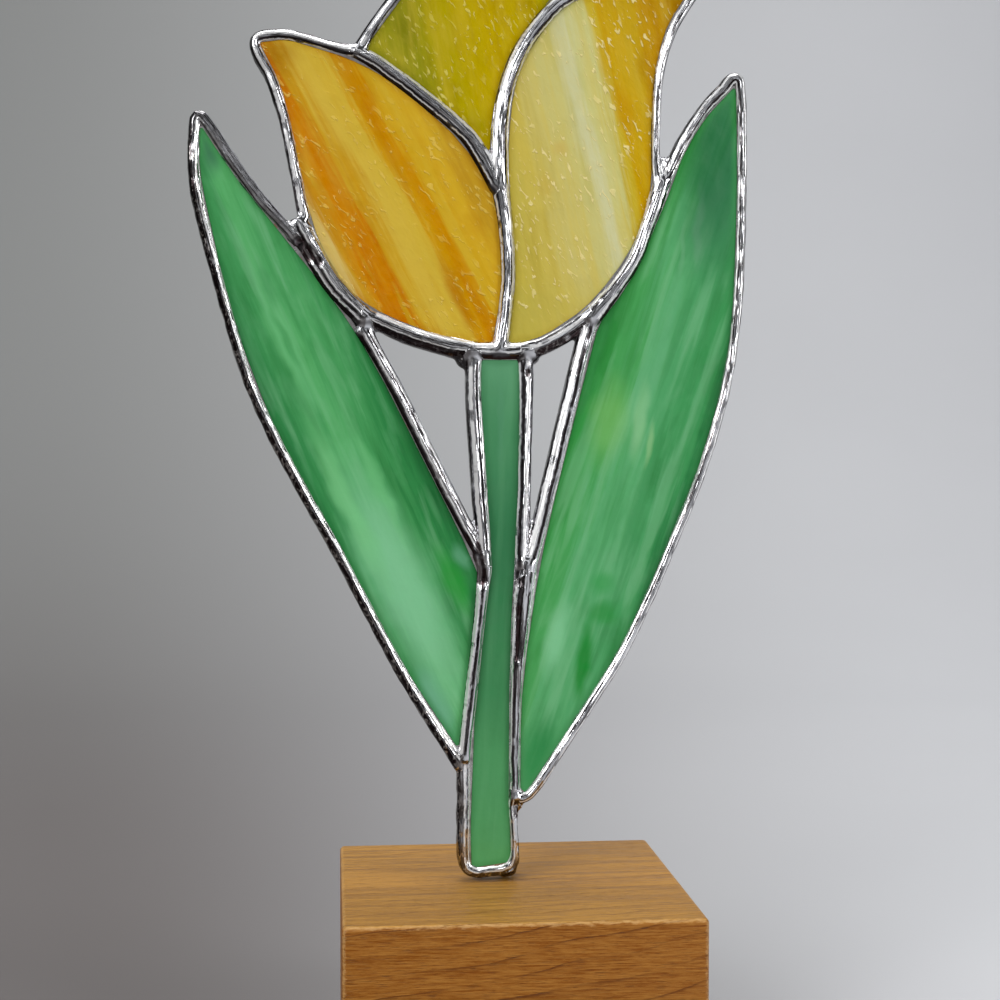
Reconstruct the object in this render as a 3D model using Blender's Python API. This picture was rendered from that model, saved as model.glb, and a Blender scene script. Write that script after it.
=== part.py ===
# A stained glass tulip on an oak block.
# Six panes of opalescent glass stand on edge in one upright plane. Each pane's edge is wrapped in copper
# foil, solder beads join the panes and finish the free edges, and a steel rod soldered behind the stem
# stands in a hole drilled in the block.
# Frame: the origin is the middle of the block's underside, +Z is up, and the flower faces -Y.

import math

import bmesh
import bpy
from mathutils import Vector
from mathutils.geometry import interpolate_bezier

MM = 0.001

# Block
BLOCK_WIDTH = 65.0 * MM
BLOCK_DEPTH = 65.0 * MM
BLOCK_HEIGHT = 40.0 * MM
BLOCK_ARRIS = 1.5 * MM
ARRIS_STEPS = 2

# Flower, from the block's top to the back petal's tip, and the height at which its pattern is drawn
FLOWER_HEIGHT = 183.5 * MM
DRAWN_HEIGHT = 183.5

# Glass and foil
GLASS_THICKNESS = 3.0 * MM
FOIL_THICKNESS = 0.06 * MM
FOIL_OVERLAP = 0.8 * MM
CLEARANCE = 0.1 * MM

# Solder
BEAD_FEATHER = 0.12 * MM
SEAM_CROWN = 0.9 * MM
RIM_CROWN = 0.45 * MM
BEAD_JOINT = 0.16 * MM
RIM_REACH = 1.2 * MM
LEAF_RIM_REACH = 1.4 * MM
STEM_RIM_REACH = 0.7 * MM
PETAL_WINDOW_REACH = 2.6 * MM
LEAF_WINDOW_REACH = 2.1 * MM
STEM_WINDOW_REACH = 1.8 * MM
FOOT_GAP = 0.5 * MM

# Rod
ROD_DIAMETER = 2.4 * MM
ROD_DEPTH = 22.0 * MM
ROD_RISE = 60.0 * MM
ROD_END_CHAMFER = 0.3 * MM
ROD_FIT = 0.05 * MM
HOLE_SPARE = 1.0 * MM
ROD_SIDES = 24
TACK_WALL = 1.0 * MM
TACK_HEIGHT = 8.0 * MM
FOOT_TACK_HEIGHT = 6.0 * MM
TACK_SIDES = 24
TACK_RINGS = 10

# Fineness of the outlines, and the room that the eased corners and the beads' sections need
CURVE_STEPS = 24
CHORD_ERROR = 0.09 * MM
TIP_ROUND = 0.3 * MM
TIP_STEP = math.radians(26.0)
TIP_LEAST_TURN = math.radians(24.0)
CORNER_SPARE = 1.2
LEAST_STEP = 0.15 * MM
LEAST_SQUARE = 0.5
RIM_STEPS = 8
SEAM_FRACTIONS = (0.16, 0.5, 0.84)

# Derived sizes
SCALE = FLOWER_HEIGHT / DRAWN_HEIGHT
TIP_RADIUS = FOIL_OVERLAP + TIP_ROUND
GLASS_FACE = GLASS_THICKNESS / 2
FOIL_INSIDE = GLASS_FACE + CLEARANCE
FOIL_OUTSIDE = FOIL_INSIDE + FOIL_THICKNESS
SLOT_FACE = FOIL_OUTSIDE + CLEARANCE
BEAD_EDGE = SLOT_FACE + BEAD_FEATHER
ROD_RADIUS = ROD_DIAMETER / 2
ROD_BACK = BEAD_EDGE + max(SEAM_CROWN, RIM_CROWN) + CLEARANCE + ROD_RADIUS

# The panes' foiled edges as drawn, each from corner to corner, anticlockwise as seen from the front.
# A pair is across from the rod and up from the block's top, in the pattern's millimetres.
PANES = {
    "left_leaf": (
        ((-59.2, 146.5), (-59.2, 135.5), (-57.2, 125.0), (-53.0, 107.3), (-44.5, 85.0), (-33.2, 64.5),
         (-22.0, 43.0), (-9.6, 23.6)),
        ((-9.6, 23.6), (-8.6, 30.0), (-7.0, 44.4), (-5.9, 54.0), (-5.6, 59.5)),
        ((-5.6, 59.5), (-9.0, 67.3), (-17.0, 83.2), (-25.0, 99.0), (-30.8, 108.4), (-36.8, 116.6),
         (-42.0, 123.0), (-50.5, 133.5), (-55.0, 140.0), (-59.2, 146.5)),
    ),
    "right_leaf": (
        ((1.2, 17.6), (3.1, 15.7)),
        ((3.1, 15.7), (10.5, 26.8), (21.6, 43.8), (30.3, 62.3), (38.0, 81.8), (43.0, 102.0),
         (44.5, 127.5), (44.5, 145.0), (44.2, 154.7)),
        ((44.2, 154.7), (37.2, 147.1), (32.6, 139.5), (30.0, 132.5), (27.0, 125.6), (24.0, 118.5),
         (20.4, 112.6), (16.6, 107.5), (14.8, 101.5), (12.5, 92.6), (6.4, 67.5), (3.9, 54.2),
         (1.6, 36.7), (1.2, 25.0), (1.2, 17.6)),
    ),
    "left_petal": (
        ((-2.9, 102.2), (-2.0, 107.0), (-1.1, 114.0), (-1.2, 121.3), (-3.0, 133.0), (-8.9, 141.6),
         (-14.7, 147.2), (-20.4, 151.8), (-25.9, 155.2), (-31.1, 157.5), (-36.8, 159.3), (-42.5, 160.6),
         (-48.5, 159.9)),
        ((-48.5, 159.9), (-43.8, 150.2), (-40.8, 136.5), (-38.8, 127.5), (-34.7, 117.4), (-28.1, 110.2),
         (-16.5, 104.9), (-7.8, 102.9), (-2.9, 102.2)),
    ),
    "right_petal": (
        ((-1.4, 102.2), (3.2, 102.9), (8.2, 105.0), (16.0, 110.8), (23.8, 121.1), (27.4, 131.0),
         (28.0, 141.0), (28.3, 153.0), (30.4, 162.5), (33.6, 168.3), (38.6, 175.1)),
        ((38.6, 175.1), (25.0, 171.9), (14.3, 169.8), (9.2, 167.2), (3.4, 160.2), (0.3, 152.6),
         (-1.0, 142.3), (-0.9, 132.7), (0.1, 121.2), (0.1, 113.7), (-0.9, 108.0), (-1.4, 102.2)),
    ),
    "back_petal": (
        ((-2.9, 134.6), (-3.1, 142.0), (-2.3, 148.5), (0.8, 158.0), (8.0, 168.0), (11.6, 170.8)),
        ((11.6, 170.8), (6.4, 176.7), (-4.9, 183.5)),
        ((-4.9, 183.5), (-15.7, 175.4), (-22.5, 166.9), (-28.5, 158.6)),
        ((-28.5, 158.6), (-14.9, 149.4), (-8.2, 142.9), (-2.9, 134.6)),
    ),
    "stem": (
        ((-8.2, 1.8), (0.9, 3.0)),
        ((0.9, 3.0), (0.5, 12.5), (0.4, 25.0), (0.7, 44.4), (1.4, 59.9), (2.2, 73.3), (2.5, 92.6),
         (2.6, 100.8)),
        ((2.6, 100.8), (-6.5, 100.8)),
        ((-6.5, 100.8), (-6.4, 92.5), (-5.6, 81.0), (-4.8, 69.5), (-4.5, 61.9), (-5.2, 54.2),
         (-6.3, 44.6), (-7.4, 34.9), (-8.0, 23.3), (-8.4, 9.7), (-8.2, 1.8)),
    ),
}
DRAWN_FOOT = 1.8

# Seams: name, the two panes, then where the seam begins and ends on the first pane and on the second.
# The first pane's edge is followed anticlockwise.
SEAMS = (
    ("seam_left_petal_right_petal", "left_petal", "right_petal",
     (-2.9, 102.2), (-3.0, 133.4), (-1.4, 102.2), (-0.9, 133.4)),
    ("seam_left_petal_back_petal", "left_petal", "back_petal",
     (-3.0, 133.4), (-29.4, 157.0), (-2.9, 134.6), (-28.5, 158.6)),
    ("seam_back_petal_right_petal", "back_petal", "right_petal",
     (-2.9, 134.6), (11.6, 170.8), (-0.9, 133.4), (12.6, 169.2)),
    ("seam_left_petal_stem", "left_petal", "stem",
     (-7.0, 102.8), (-2.9, 102.2), (-6.5, 100.8), (-2.2, 100.8)),
    ("seam_right_petal_stem", "right_petal", "stem",
     (-1.4, 102.2), (3.2, 102.9), (-2.2, 100.8), (2.6, 100.8)),
    ("seam_left_leaf_left_petal", "left_leaf", "left_petal",
     (-29.0, 105.6), (-41.6, 122.5), (-26.0, 109.0), (-38.6, 126.5)),
    ("seam_left_leaf_stem", "left_leaf", "stem",
     (-9.6, 23.6), (-5.6, 59.5), (-8.0, 22.8), (-4.6, 61.0)),
    ("seam_right_petal_right_leaf", "right_petal", "right_leaf",
     (14.6, 109.6), (27.6, 133.0), (16.6, 107.5), (29.9, 132.2)),
    ("seam_right_leaf_stem", "stem", "right_leaf",
     (0.45, 16.6), (1.3, 59.0), (1.2, 17.6), (4.8, 59.0)),
)

# Rims: name, pane, where the rim begins and ends on that pane's edge, and its reach at either end.
# The edge is followed anticlockwise.
RIMS = (
    ("back_petal_rim", "back_petal", (11.6, 170.8), (-28.5, 158.6), RIM_REACH, RIM_REACH),
    ("left_petal_outer_rim", "left_petal", (-29.4, 157.0), (-38.6, 126.5), RIM_REACH, RIM_REACH),
    ("left_petal_lower_rim", "left_petal", (-26.0, 109.0), (-7.0, 102.8),
     PETAL_WINDOW_REACH, PETAL_WINDOW_REACH),
    ("right_petal_outer_rim", "right_petal", (27.6, 133.0), (12.6, 169.2), RIM_REACH, RIM_REACH),
    ("right_petal_lower_rim", "right_petal", (3.2, 102.9), (14.6, 109.6),
     PETAL_WINDOW_REACH, PETAL_WINDOW_REACH),
    ("left_leaf_outer_rim", "left_leaf", (-41.6, 122.5), (-9.6, 23.6), LEAF_RIM_REACH, LEAF_RIM_REACH),
    ("left_leaf_inner_rim", "left_leaf", (-5.6, 59.5), (-29.0, 105.6),
     LEAF_WINDOW_REACH, LEAF_WINDOW_REACH),
    ("right_leaf_outer_rim", "right_leaf", (1.2, 17.6), (29.9, 132.2), RIM_REACH, RIM_REACH),
    ("right_leaf_inner_rim", "right_leaf", (16.6, 107.5), (4.8, 59.0),
     LEAF_WINDOW_REACH, LEAF_WINDOW_REACH),
    ("stem_left_rim", "stem", (-6.5, 100.8), (-4.6, 61.0), STEM_WINDOW_REACH, STEM_WINDOW_REACH),
    ("stem_right_rim", "stem", (1.3, 59.0), (2.6, 100.8), STEM_WINDOW_REACH, STEM_WINDOW_REACH),
    ("stem_foot_rim", "stem", (-8.0, 22.8), (0.45, 16.6), LEAF_RIM_REACH, STEM_RIM_REACH),
)


def drawn(pair):
    """A point of the pattern at its real size, as metres across and up from the block's top."""
    lift = FOOT_GAP + LEAF_RIM_REACH - DRAWN_FOOT * SCALE
    return Vector((pair[0] * SCALE, pair[1] * SCALE + lift))


def curve_through(pairs):
    """A smooth line through one stretch's points, end to end."""
    points = [drawn(pair) for pair in pairs]
    headings = [(points[1] - points[0]).normalized()]
    for before, after in zip(points, points[2:]):
        headings.append((after - before).normalized())
    headings.append((points[-1] - points[-2]).normalized())
    line = [points[0]]
    for index in range(len(points) - 1):
        start = points[index]
        end = points[index + 1]
        handle = (end - start).length / 3
        leave = start + headings[index] * handle
        arrive = end - headings[index + 1] * handle
        knots = [point.to_3d() for point in (start, leave, arrive, end)]
        line += [point.to_2d() for point in interpolate_bezier(*knots, CURVE_STEPS)[1:]]
    return line


def thinned(line):
    """The line with only the points that its bends need."""
    if len(line) < 3:
        return list(line)
    start = line[0]
    chord = line[-1] - start
    worst = 0.0
    split = 0
    for index, point in enumerate(line[1:-1], 1):
        away = point - start
        error = abs(chord.x * away.y - chord.y * away.x) / max(chord.length, 1e-9)
        if error > worst:
            worst = error
            split = index
    if worst < CHORD_ERROR:
        return [line[0], line[-1]]
    return thinned(line[:split + 1])[:-1] + thinned(line[split:])


def rounded_corner(before, corner, after):
    """The arc that eases one corner, or the bare corner where the edge hardly turns."""
    arrive = (corner - before).normalized()
    leave = (after - corner).normalized()
    turn = arrive.angle_signed(leave)
    if abs(turn) < TIP_LEAST_TURN:
        return [corner], 0.0
    cut = TIP_RADIUS * math.tan(abs(turn) / 2)
    start = corner - arrive * cut
    side = 1 if arrive.x * leave.y - arrive.y * leave.x > 0 else -1
    centre = start + Vector((-arrive.y, arrive.x)) * side * TIP_RADIUS
    steps = max(2, math.ceil(abs(turn) / TIP_STEP))
    arc = []
    for step in range(steps + 1):
        angle = side * abs(turn) * step / steps
        spoke = start - centre
        arc.append(centre + Vector((spoke.x * math.cos(angle) - spoke.y * math.sin(angle),
                                    spoke.x * math.sin(angle) + spoke.y * math.cos(angle))))
    return arc, cut


def pane_outline(name):
    """The pane's foiled edge as a closed ring of points, anticlockwise, with its corners eased."""
    stretches = [thinned(curve_through(pairs)) for pairs in PANES[name]]
    arcs = []
    for index, stretch in enumerate(stretches):
        arcs.append(rounded_corner(stretches[index - 1][-2], stretch[0], stretch[1]))
    ring = []
    for index, stretch in enumerate(stretches):
        arc, cut = arcs[index]
        next_cut = arcs[(index + 1) % len(arcs)][1]
        ring.extend(arc)
        for point in stretch[1:-1]:
            clear_of_start = (point - stretch[0]).length > cut * CORNER_SPARE
            clear_of_end = (point - stretch[-1]).length > next_cut * CORNER_SPARE
            if clear_of_start and clear_of_end:
                ring.append(point)
    return ring


def mitres(ring):
    """At each point of the ring, the step outward that moves both its edges out by one."""
    steps = []
    for index, point in enumerate(ring):
        arrive = (point - ring[index - 1]).normalized()
        leave = (ring[(index + 1) % len(ring)] - point).normalized()
        out = Vector((arrive.y, -arrive.x)) + Vector((leave.y, -leave.x))
        steps.append(out / (1 + arrive.dot(leave)))
    return steps


class Edge:
    """A pane's foiled edge, which can be asked for its point and outward step at any place along it."""

    def __init__(self, name):
        self.ring = pane_outline(name)
        self.out = mitres(self.ring)
        self.along = [0.0]
        for index, point in enumerate(self.ring):
            following = self.ring[(index + 1) % len(self.ring)]
            self.along.append(self.along[-1] + (following - point).length)
        self.length = self.along[-1]

    def nearest(self, point):
        """The place along the edge that lies closest to a point, and how far away it is."""
        best = (float("inf"), 0.0)
        for index, start in enumerate(self.ring):
            side = self.ring[(index + 1) % len(self.ring)] - start
            share = min(1.0, max(0.0, (point - start).dot(side) / side.length_squared))
            gap = (start + side * share - point).length
            best = min(best, (gap, self.along[index] + side.length * share))
        return best[1], best[0]

    def at(self, place):
        """The edge's point and its outward step at one place along it."""
        place %= self.length
        index = max(i for i, reached in enumerate(self.along[:-1]) if reached <= place)
        share = (place - self.along[index]) / (self.along[index + 1] - self.along[index])
        following = (index + 1) % len(self.ring)
        point = self.ring[index].lerp(self.ring[following], share)
        return point, self.out[index].lerp(self.out[following], share)

    def places(self, start, end):
        """The edge's own points between two places, anticlockwise, with the two places themselves."""
        if end <= start:
            end += self.length
        inner = [lap + reached for lap in (0.0, self.length) for reached in self.along[:-1]]
        kept = [place for place in inner if start + LEAST_STEP < place < end - LEAST_STEP]
        return [start] + kept + [end]


EDGES = {name: Edge(name) for name in PANES}


def solid(name, vertices, faces, material, parent):
    """A mesh object from its points and faces, with its faces pointing out."""
    mesh = bpy.data.meshes.new(name)
    mesh.from_pydata([tuple(vertex) for vertex in vertices], [], faces)
    made = bmesh.new()
    made.from_mesh(mesh)
    bmesh.ops.triangulate(made, faces=[face for face in made.faces if len(face.verts) > 4])
    bmesh.ops.recalc_face_normals(made, faces=made.faces)
    made.to_mesh(mesh)
    made.free()
    return placed(name, mesh, material, parent)


def placed(name, mesh, material, parent):
    """An object for a mesh, with its one material, under its parent."""
    piece = bpy.data.objects.new(name, mesh)
    bpy.context.scene.collection.objects.link(piece)
    mesh.materials.clear()
    mesh.materials.append(material)
    piece.parent = parent
    return piece


def standing(flat, depth):
    """A point of the flower's plane at a depth behind it, from the rod's axis at the block's top."""
    return (flat.x, depth - ROD_BACK, flat.y)


def loft(sections, closed):
    """The points and faces of a tube through equal rings of points; open tubes get end faces."""
    count = len(sections[0])
    vertices = [point for section in sections for point in section]
    faces = []
    last = len(sections) if closed else len(sections) - 1
    for index in range(last):
        here = index * count
        there = (index + 1) % len(sections) * count
        for step in range(count):
            turn = (step + 1) % count
            faces.append((here + step, here + turn, there + turn, there + step))
    return vertices, faces


def glass_pane(name, material, parent):
    """The pane itself: a flat sheet just inside its foil."""
    edge = EDGES[name]
    inset = FOIL_THICKNESS + CLEARANCE
    flat = [point - out * inset for point, out in zip(edge.ring, edge.out)]
    front = [standing(point, -GLASS_FACE) for point in flat]
    back = [standing(point, GLASS_FACE) for point in flat]
    count = len(flat)
    faces = [(i, (i + 1) % count, count + (i + 1) % count, count + i) for i in range(count)]
    faces.append(tuple(range(count)))
    faces.append(tuple(range(2 * count - 1, count - 1, -1)))
    return solid(name + "_glass", front + back, faces, material, parent)


def foil_wrap(name, material, parent):
    """The copper foil folded round the pane's edge: a channel that runs right round it."""
    edge = EDGES[name]
    leg = FOIL_OVERLAP - CLEARANCE
    channel = ((0.0, -FOIL_OUTSIDE), (0.0, FOIL_OUTSIDE), (leg, FOIL_OUTSIDE), (leg, FOIL_INSIDE),
               (FOIL_THICKNESS, FOIL_INSIDE), (FOIL_THICKNESS, -FOIL_INSIDE), (leg, -FOIL_INSIDE),
               (leg, -FOIL_OUTSIDE))
    sections = []
    for point, out in zip(edge.ring, edge.out):
        sections.append([standing(point - out * inset, depth) for inset, depth in channel])
    vertices, faces = loft(sections, closed=True)
    return solid(name + "_foil", vertices, faces, material, parent)


def rim_section(point, inward, outward, reach):
    """One cross-section of a rim: a slot over the foiled edge inside a rounded nose."""
    high = BEAD_EDGE + RIM_CROWN
    lean = math.asin(BEAD_EDGE / high)
    half = (reach + FOIL_OVERLAP) / (1 + math.cos(lean))
    middle = reach - half
    section = [(-FOIL_OVERLAP, -SLOT_FACE)]
    for step in range(RIM_STEPS + 1):
        angle = (math.pi - lean) * (1 - 2 * step / RIM_STEPS)
        section.append((middle + half * math.cos(angle), -high * math.sin(angle)))
    section += [(-FOIL_OVERLAP, SLOT_FACE), (CLEARANCE, SLOT_FACE), (CLEARANCE, -SLOT_FACE)]
    spots = []
    for away, depth in section:
        step = outward if away > 0 else inward
        spots.append(standing(point + step * away, depth))
    return spots


def reach_at(pane, point, reach):
    """A rim's reach, held back where another pane's own rim needs half of the space."""
    room = min(edge.nearest(point)[1] for name, edge in EDGES.items() if name != pane)
    return min(reach, (room - BEAD_JOINT) / 2)


def seam_lean(point, out, toward):
    """The outward step of a rim's end face that lies along the end of the seam beside it."""
    across = toward - point
    if across.length < CLEARANCE:
        return out
    across.normalize()
    square = across.dot(out.normalized())
    return across / max(square, LEAST_SQUARE)


def seam_partner(pane, spot):
    """Where the seam that ends at this spot of a pane begins on the other pane."""
    for name, first, second, start, end, other_start, other_end in SEAMS:
        for one, here, other, there in ((first, start, second, other_start), (first, end, second, other_end),
                                        (second, other_start, first, start), (second, other_end, first, end)):
            if one == pane and here == spot:
                edge = EDGES[other]
                return edge.at(edge.nearest(drawn(there))[0])[0]
    raise ValueError(f"no seam meets {pane} at {spot}")


def rim(name, pane, start, end, start_reach, end_reach, material, parent):
    """A solder rim along one free stretch of a pane's edge."""
    edge = EDGES[pane]
    begin = edge.nearest(drawn(start))[0]
    finish = edge.nearest(drawn(end))[0]
    if finish <= begin:
        finish += edge.length
    places = edge.places(begin + BEAD_JOINT / 2, finish - BEAD_JOINT / 2)
    sections = []
    for place in places:
        point, out = edge.at(place)
        share = (place - begin) / (finish - begin)
        reach = reach_at(pane, point, start_reach + (end_reach - start_reach) * share)
        outward = out
        if place == places[0]:
            outward = seam_lean(point, out, seam_partner(pane, start))
        if place == places[-1]:
            outward = seam_lean(point, out, seam_partner(pane, end))
        sections.append(rim_section(point, out, outward, reach))
    vertices, faces = loft(sections, closed=False)
    count = len(sections[0])
    for base in (0, count * (len(sections) - 1)):
        faces.append(tuple(range(base, base + count)))
    return solid(name, vertices, faces, material, parent)


def seam_section(one, one_out, two, two_out):
    """One cross-section of a seam: a web between two foiled edges under crowned caps, front and back."""
    one_sight = one - one_out * FOIL_OVERLAP
    two_sight = two - two_out * FOIL_OVERLAP
    one_web = one + one_out * CLEARANCE
    two_web = two + two_out * CLEARANCE
    spots = []
    for side in (-1, 1):
        cap = [(one_sight, SLOT_FACE), (one_sight, BEAD_EDGE)]
        for share in SEAM_FRACTIONS:
            rise = math.sqrt(1 - (2 * share - 1) ** 2)
            cap.append((one_sight.lerp(two_sight, share), BEAD_EDGE + SEAM_CROWN * rise))
        cap += [(two_sight, BEAD_EDGE), (two_sight, SLOT_FACE), (two_web, SLOT_FACE)]
        if side > 0:
            cap = [(one_web, SLOT_FACE)] + cap
            cap.reverse()
        else:
            cap = [(one_web, SLOT_FACE)] + cap
        spots += [standing(flat, side * depth) for flat, depth in cap]
    return spots


def seam(name, first, second, start, end, other_start, other_end, material, parent):
    """A solder seam between two panes' edges, from one end mark to the other."""
    one = EDGES[first]
    two = EDGES[second]
    one_start = one.nearest(drawn(start))[0]
    one_end = one.nearest(drawn(end))[0]
    two_start = two.nearest(drawn(other_start))[0]
    two_end = two.nearest(drawn(other_end))[0]
    if one_end <= one_start:
        one_end += one.length
    if two_start <= two_end:
        two_start += two.length
    one_length = one_end - one_start
    two_length = two_start - two_end
    one_places = one.places(one_start + BEAD_JOINT / 2, one_end - BEAD_JOINT / 2)
    two_places = two.places(two_end + BEAD_JOINT / 2, two_start - BEAD_JOINT / 2)
    shares = [(place - one_start) / one_length for place in one_places[1:-1]]
    shares += [(two_start - place) / two_length for place in two_places[1:-1]]
    shares.sort()
    least = LEAST_STEP / one_length
    kept = [share for share, before in zip(shares, [-1.0] + shares) if share - before > least]
    stations = [(one_places[0], two_places[-1])]
    for share in kept:
        stations.append((one_start + one_length * share, two_start - two_length * share))
    stations.append((one_places[-1], two_places[0]))
    sections = []
    for here, there in stations:
        point, out = one.at(here)
        other, other_out = two.at(there)
        sections.append(seam_section(point, out, other, other_out))
    vertices, faces = loft(sections, closed=False)
    count = len(sections[0])
    half = count // 2
    for base in (0, count * (len(sections) - 1)):
        faces.append(tuple(base + index for index in range(half)))
        faces.append(tuple(base + index for index in range(half, count)))
        faces.append((base, base + half - 1, base + half, base + count - 1))
    return solid(name, vertices, faces, material, parent)


def coloured(name, colour, roughness, metallic=0.0, alpha=1.0):
    """A plain Principled material."""
    material = bpy.data.materials.new(name)
    material.use_nodes = True
    shader = material.node_tree.nodes["Principled BSDF"]
    shader.inputs["Base Color"].default_value = (*colour, 1.0)
    shader.inputs["Roughness"].default_value = roughness
    shader.inputs["Metallic"].default_value = metallic
    shader.inputs["Alpha"].default_value = alpha
    return material


def cylinder(name, radius, sides, bottom, top):
    """A closed upright cylinder mesh on the object's own axis."""
    mesh = bpy.data.meshes.new(name)
    made = bmesh.new()
    bmesh.ops.create_cone(made, cap_ends=True, segments=sides, radius1=radius, radius2=radius,
                          depth=top - bottom)
    bmesh.ops.translate(made, verts=made.verts, vec=(0, 0, (top + bottom) / 2))
    made.to_mesh(mesh)
    made.free()
    return mesh


def cutter(name, mesh, parent):
    """A hidden solid for a Boolean."""
    shape = bpy.data.objects.new(name, mesh)
    bpy.context.scene.collection.objects.link(shape)
    shape.parent = parent
    shape.hide_render = True
    shape.display_type = "WIRE"
    return shape


def cut(piece, shape):
    """A Boolean cut of one piece by a hidden solid."""
    difference = piece.modifiers.new(shape.name, "BOOLEAN")
    difference.operation = "DIFFERENCE"
    difference.solver = "EXACT"
    difference.object = shape


def oak_block(material, axis):
    """The block, with eased arrises and the rod's hole."""
    mesh = bpy.data.meshes.new("oak_block")
    made = bmesh.new()
    bmesh.ops.create_cube(made, size=1.0)
    bmesh.ops.scale(made, verts=made.verts, vec=(BLOCK_WIDTH, BLOCK_DEPTH, BLOCK_HEIGHT))
    bmesh.ops.translate(made, verts=made.verts, vec=(0, 0, BLOCK_HEIGHT / 2))
    made.to_mesh(mesh)
    made.free()
    block = placed("oak_block", mesh, material, None)
    ease = block.modifiers.new("arrises", "BEVEL")
    ease.width = BLOCK_ARRIS
    ease.segments = ARRIS_STEPS
    ease.limit_method = "ANGLE"
    hole_radius = (ROD_RADIUS + ROD_FIT) / math.cos(math.pi / ROD_SIDES)
    hole = cylinder("rod_hole", hole_radius, ROD_SIDES, -(ROD_DEPTH + HOLE_SPARE), BLOCK_ARRIS)
    cut(block, cutter("rod_hole", hole, axis))
    return block


def support_rod(material, axis):
    """The rod, from inside the block up behind the stem's right solder line."""
    mesh = cylinder("support_rod", ROD_RADIUS, ROD_SIDES, -ROD_DEPTH, ROD_RISE)
    rod = placed("support_rod", mesh, material, axis)
    ease = rod.modifiers.new("ends", "BEVEL")
    ease.width = ROD_END_CHAMFER
    ease.segments = 1
    ease.limit_method = "ANGLE"
    ease.angle_limit = math.radians(60)
    return rod


def tack(name, bottom, height, material, axis):
    """A solder lump that holds the rod to the beads in front of it."""
    mesh = bpy.data.meshes.new(name)
    made = bmesh.new()
    bmesh.ops.create_uvsphere(made, u_segments=TACK_SIDES, v_segments=TACK_RINGS, radius=1.0)
    wide = ROD_RADIUS + TACK_WALL
    bmesh.ops.scale(made, verts=made.verts, vec=(wide, wide, height / 2))
    bmesh.ops.translate(made, verts=made.verts, vec=(0, 0, bottom + height / 2))
    made.to_mesh(mesh)
    made.free()
    lump = placed(name, mesh, material, axis)
    sleeve = cylinder(name + "_bore", ROD_RADIUS + CLEARANCE, ROD_SIDES, bottom - height, bottom + 2 * height)
    cut(lump, cutter(name + "_bore", sleeve, axis))
    face = bpy.data.meshes.new(name + "_face")
    made = bmesh.new()
    bmesh.ops.create_cube(made, size=1.0)
    bmesh.ops.scale(made, verts=made.verts, vec=(4 * wide, wide, 3 * height))
    bmesh.ops.translate(made, verts=made.verts, vec=(0, -ROD_RADIUS - wide / 2, bottom + height / 2))
    made.to_mesh(face)
    made.free()
    cut(lump, cutter(name + "_face", face, axis))
    return lump


def build():
    """The whole tulip."""
    for old in list(bpy.data.objects):
        bpy.data.objects.remove(old)
    axis = bpy.data.objects.new("flower_turn", None)
    bpy.context.scene.collection.objects.link(axis)
    axis.location = (0, ROD_BACK, BLOCK_HEIGHT)
    oak = coloured("oak", (0.31, 0.17, 0.06), 0.6)
    steel = coloured("steel", (0.55, 0.54, 0.52), 0.3, metallic=1.0)
    copper = coloured("copper", (0.72, 0.36, 0.22), 0.3, metallic=1.0)
    solder = coloured("solder", (0.62, 0.62, 0.60), 0.22, metallic=1.0)
    glasses = {
        "left_petal": coloured("amber_glass", (0.62, 0.36, 0.03), 0.12, alpha=0.85),
        "right_petal": coloured("cream_glass", (0.60, 0.46, 0.12), 0.12, alpha=0.85),
        "back_petal": coloured("olive_glass", (0.42, 0.33, 0.01), 0.12, alpha=0.85),
        "left_leaf": coloured("green_glass", (0.08, 0.38, 0.14), 0.08, alpha=0.85),
        "right_leaf": coloured("deep_green_glass", (0.05, 0.32, 0.12), 0.08, alpha=0.85),
        "stem": coloured("sea_glass", (0.09, 0.27, 0.16), 0.15, alpha=0.95),
    }
    oak_block(oak, axis)
    support_rod(steel, axis)
    tack("rod_solder_foot", FOOT_GAP, FOOT_TACK_HEIGHT, solder, axis)
    tack("rod_solder_top", ROD_RISE - TACK_HEIGHT / 2, TACK_HEIGHT, solder, axis)
    for name in PANES:
        glass_pane(name, glasses[name], axis)
        foil_wrap(name, copper, axis)
    for line in SEAMS:
        seam(*line, solder, axis)
    for line in RIMS:
        rim(*line, solder, axis)
    bpy.context.view_layer.update()


build()
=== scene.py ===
"""A stained glass tulip on an oak block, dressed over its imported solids.

The flower's panes get rippled opalescent glass, the foiled edges get lumpy solder, the block gets its
grain, and a pale studio stands round them. Lengths in the tables below are in millimetres, seen from the
front: across from the block's middle, then up from the block's top.
"""

import math
from contextlib import contextmanager

import bmesh
import bpy
import numpy as np
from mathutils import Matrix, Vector
from mathutils.geometry import interpolate_bezier
from mathutils.kdtree import KDTree


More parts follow.
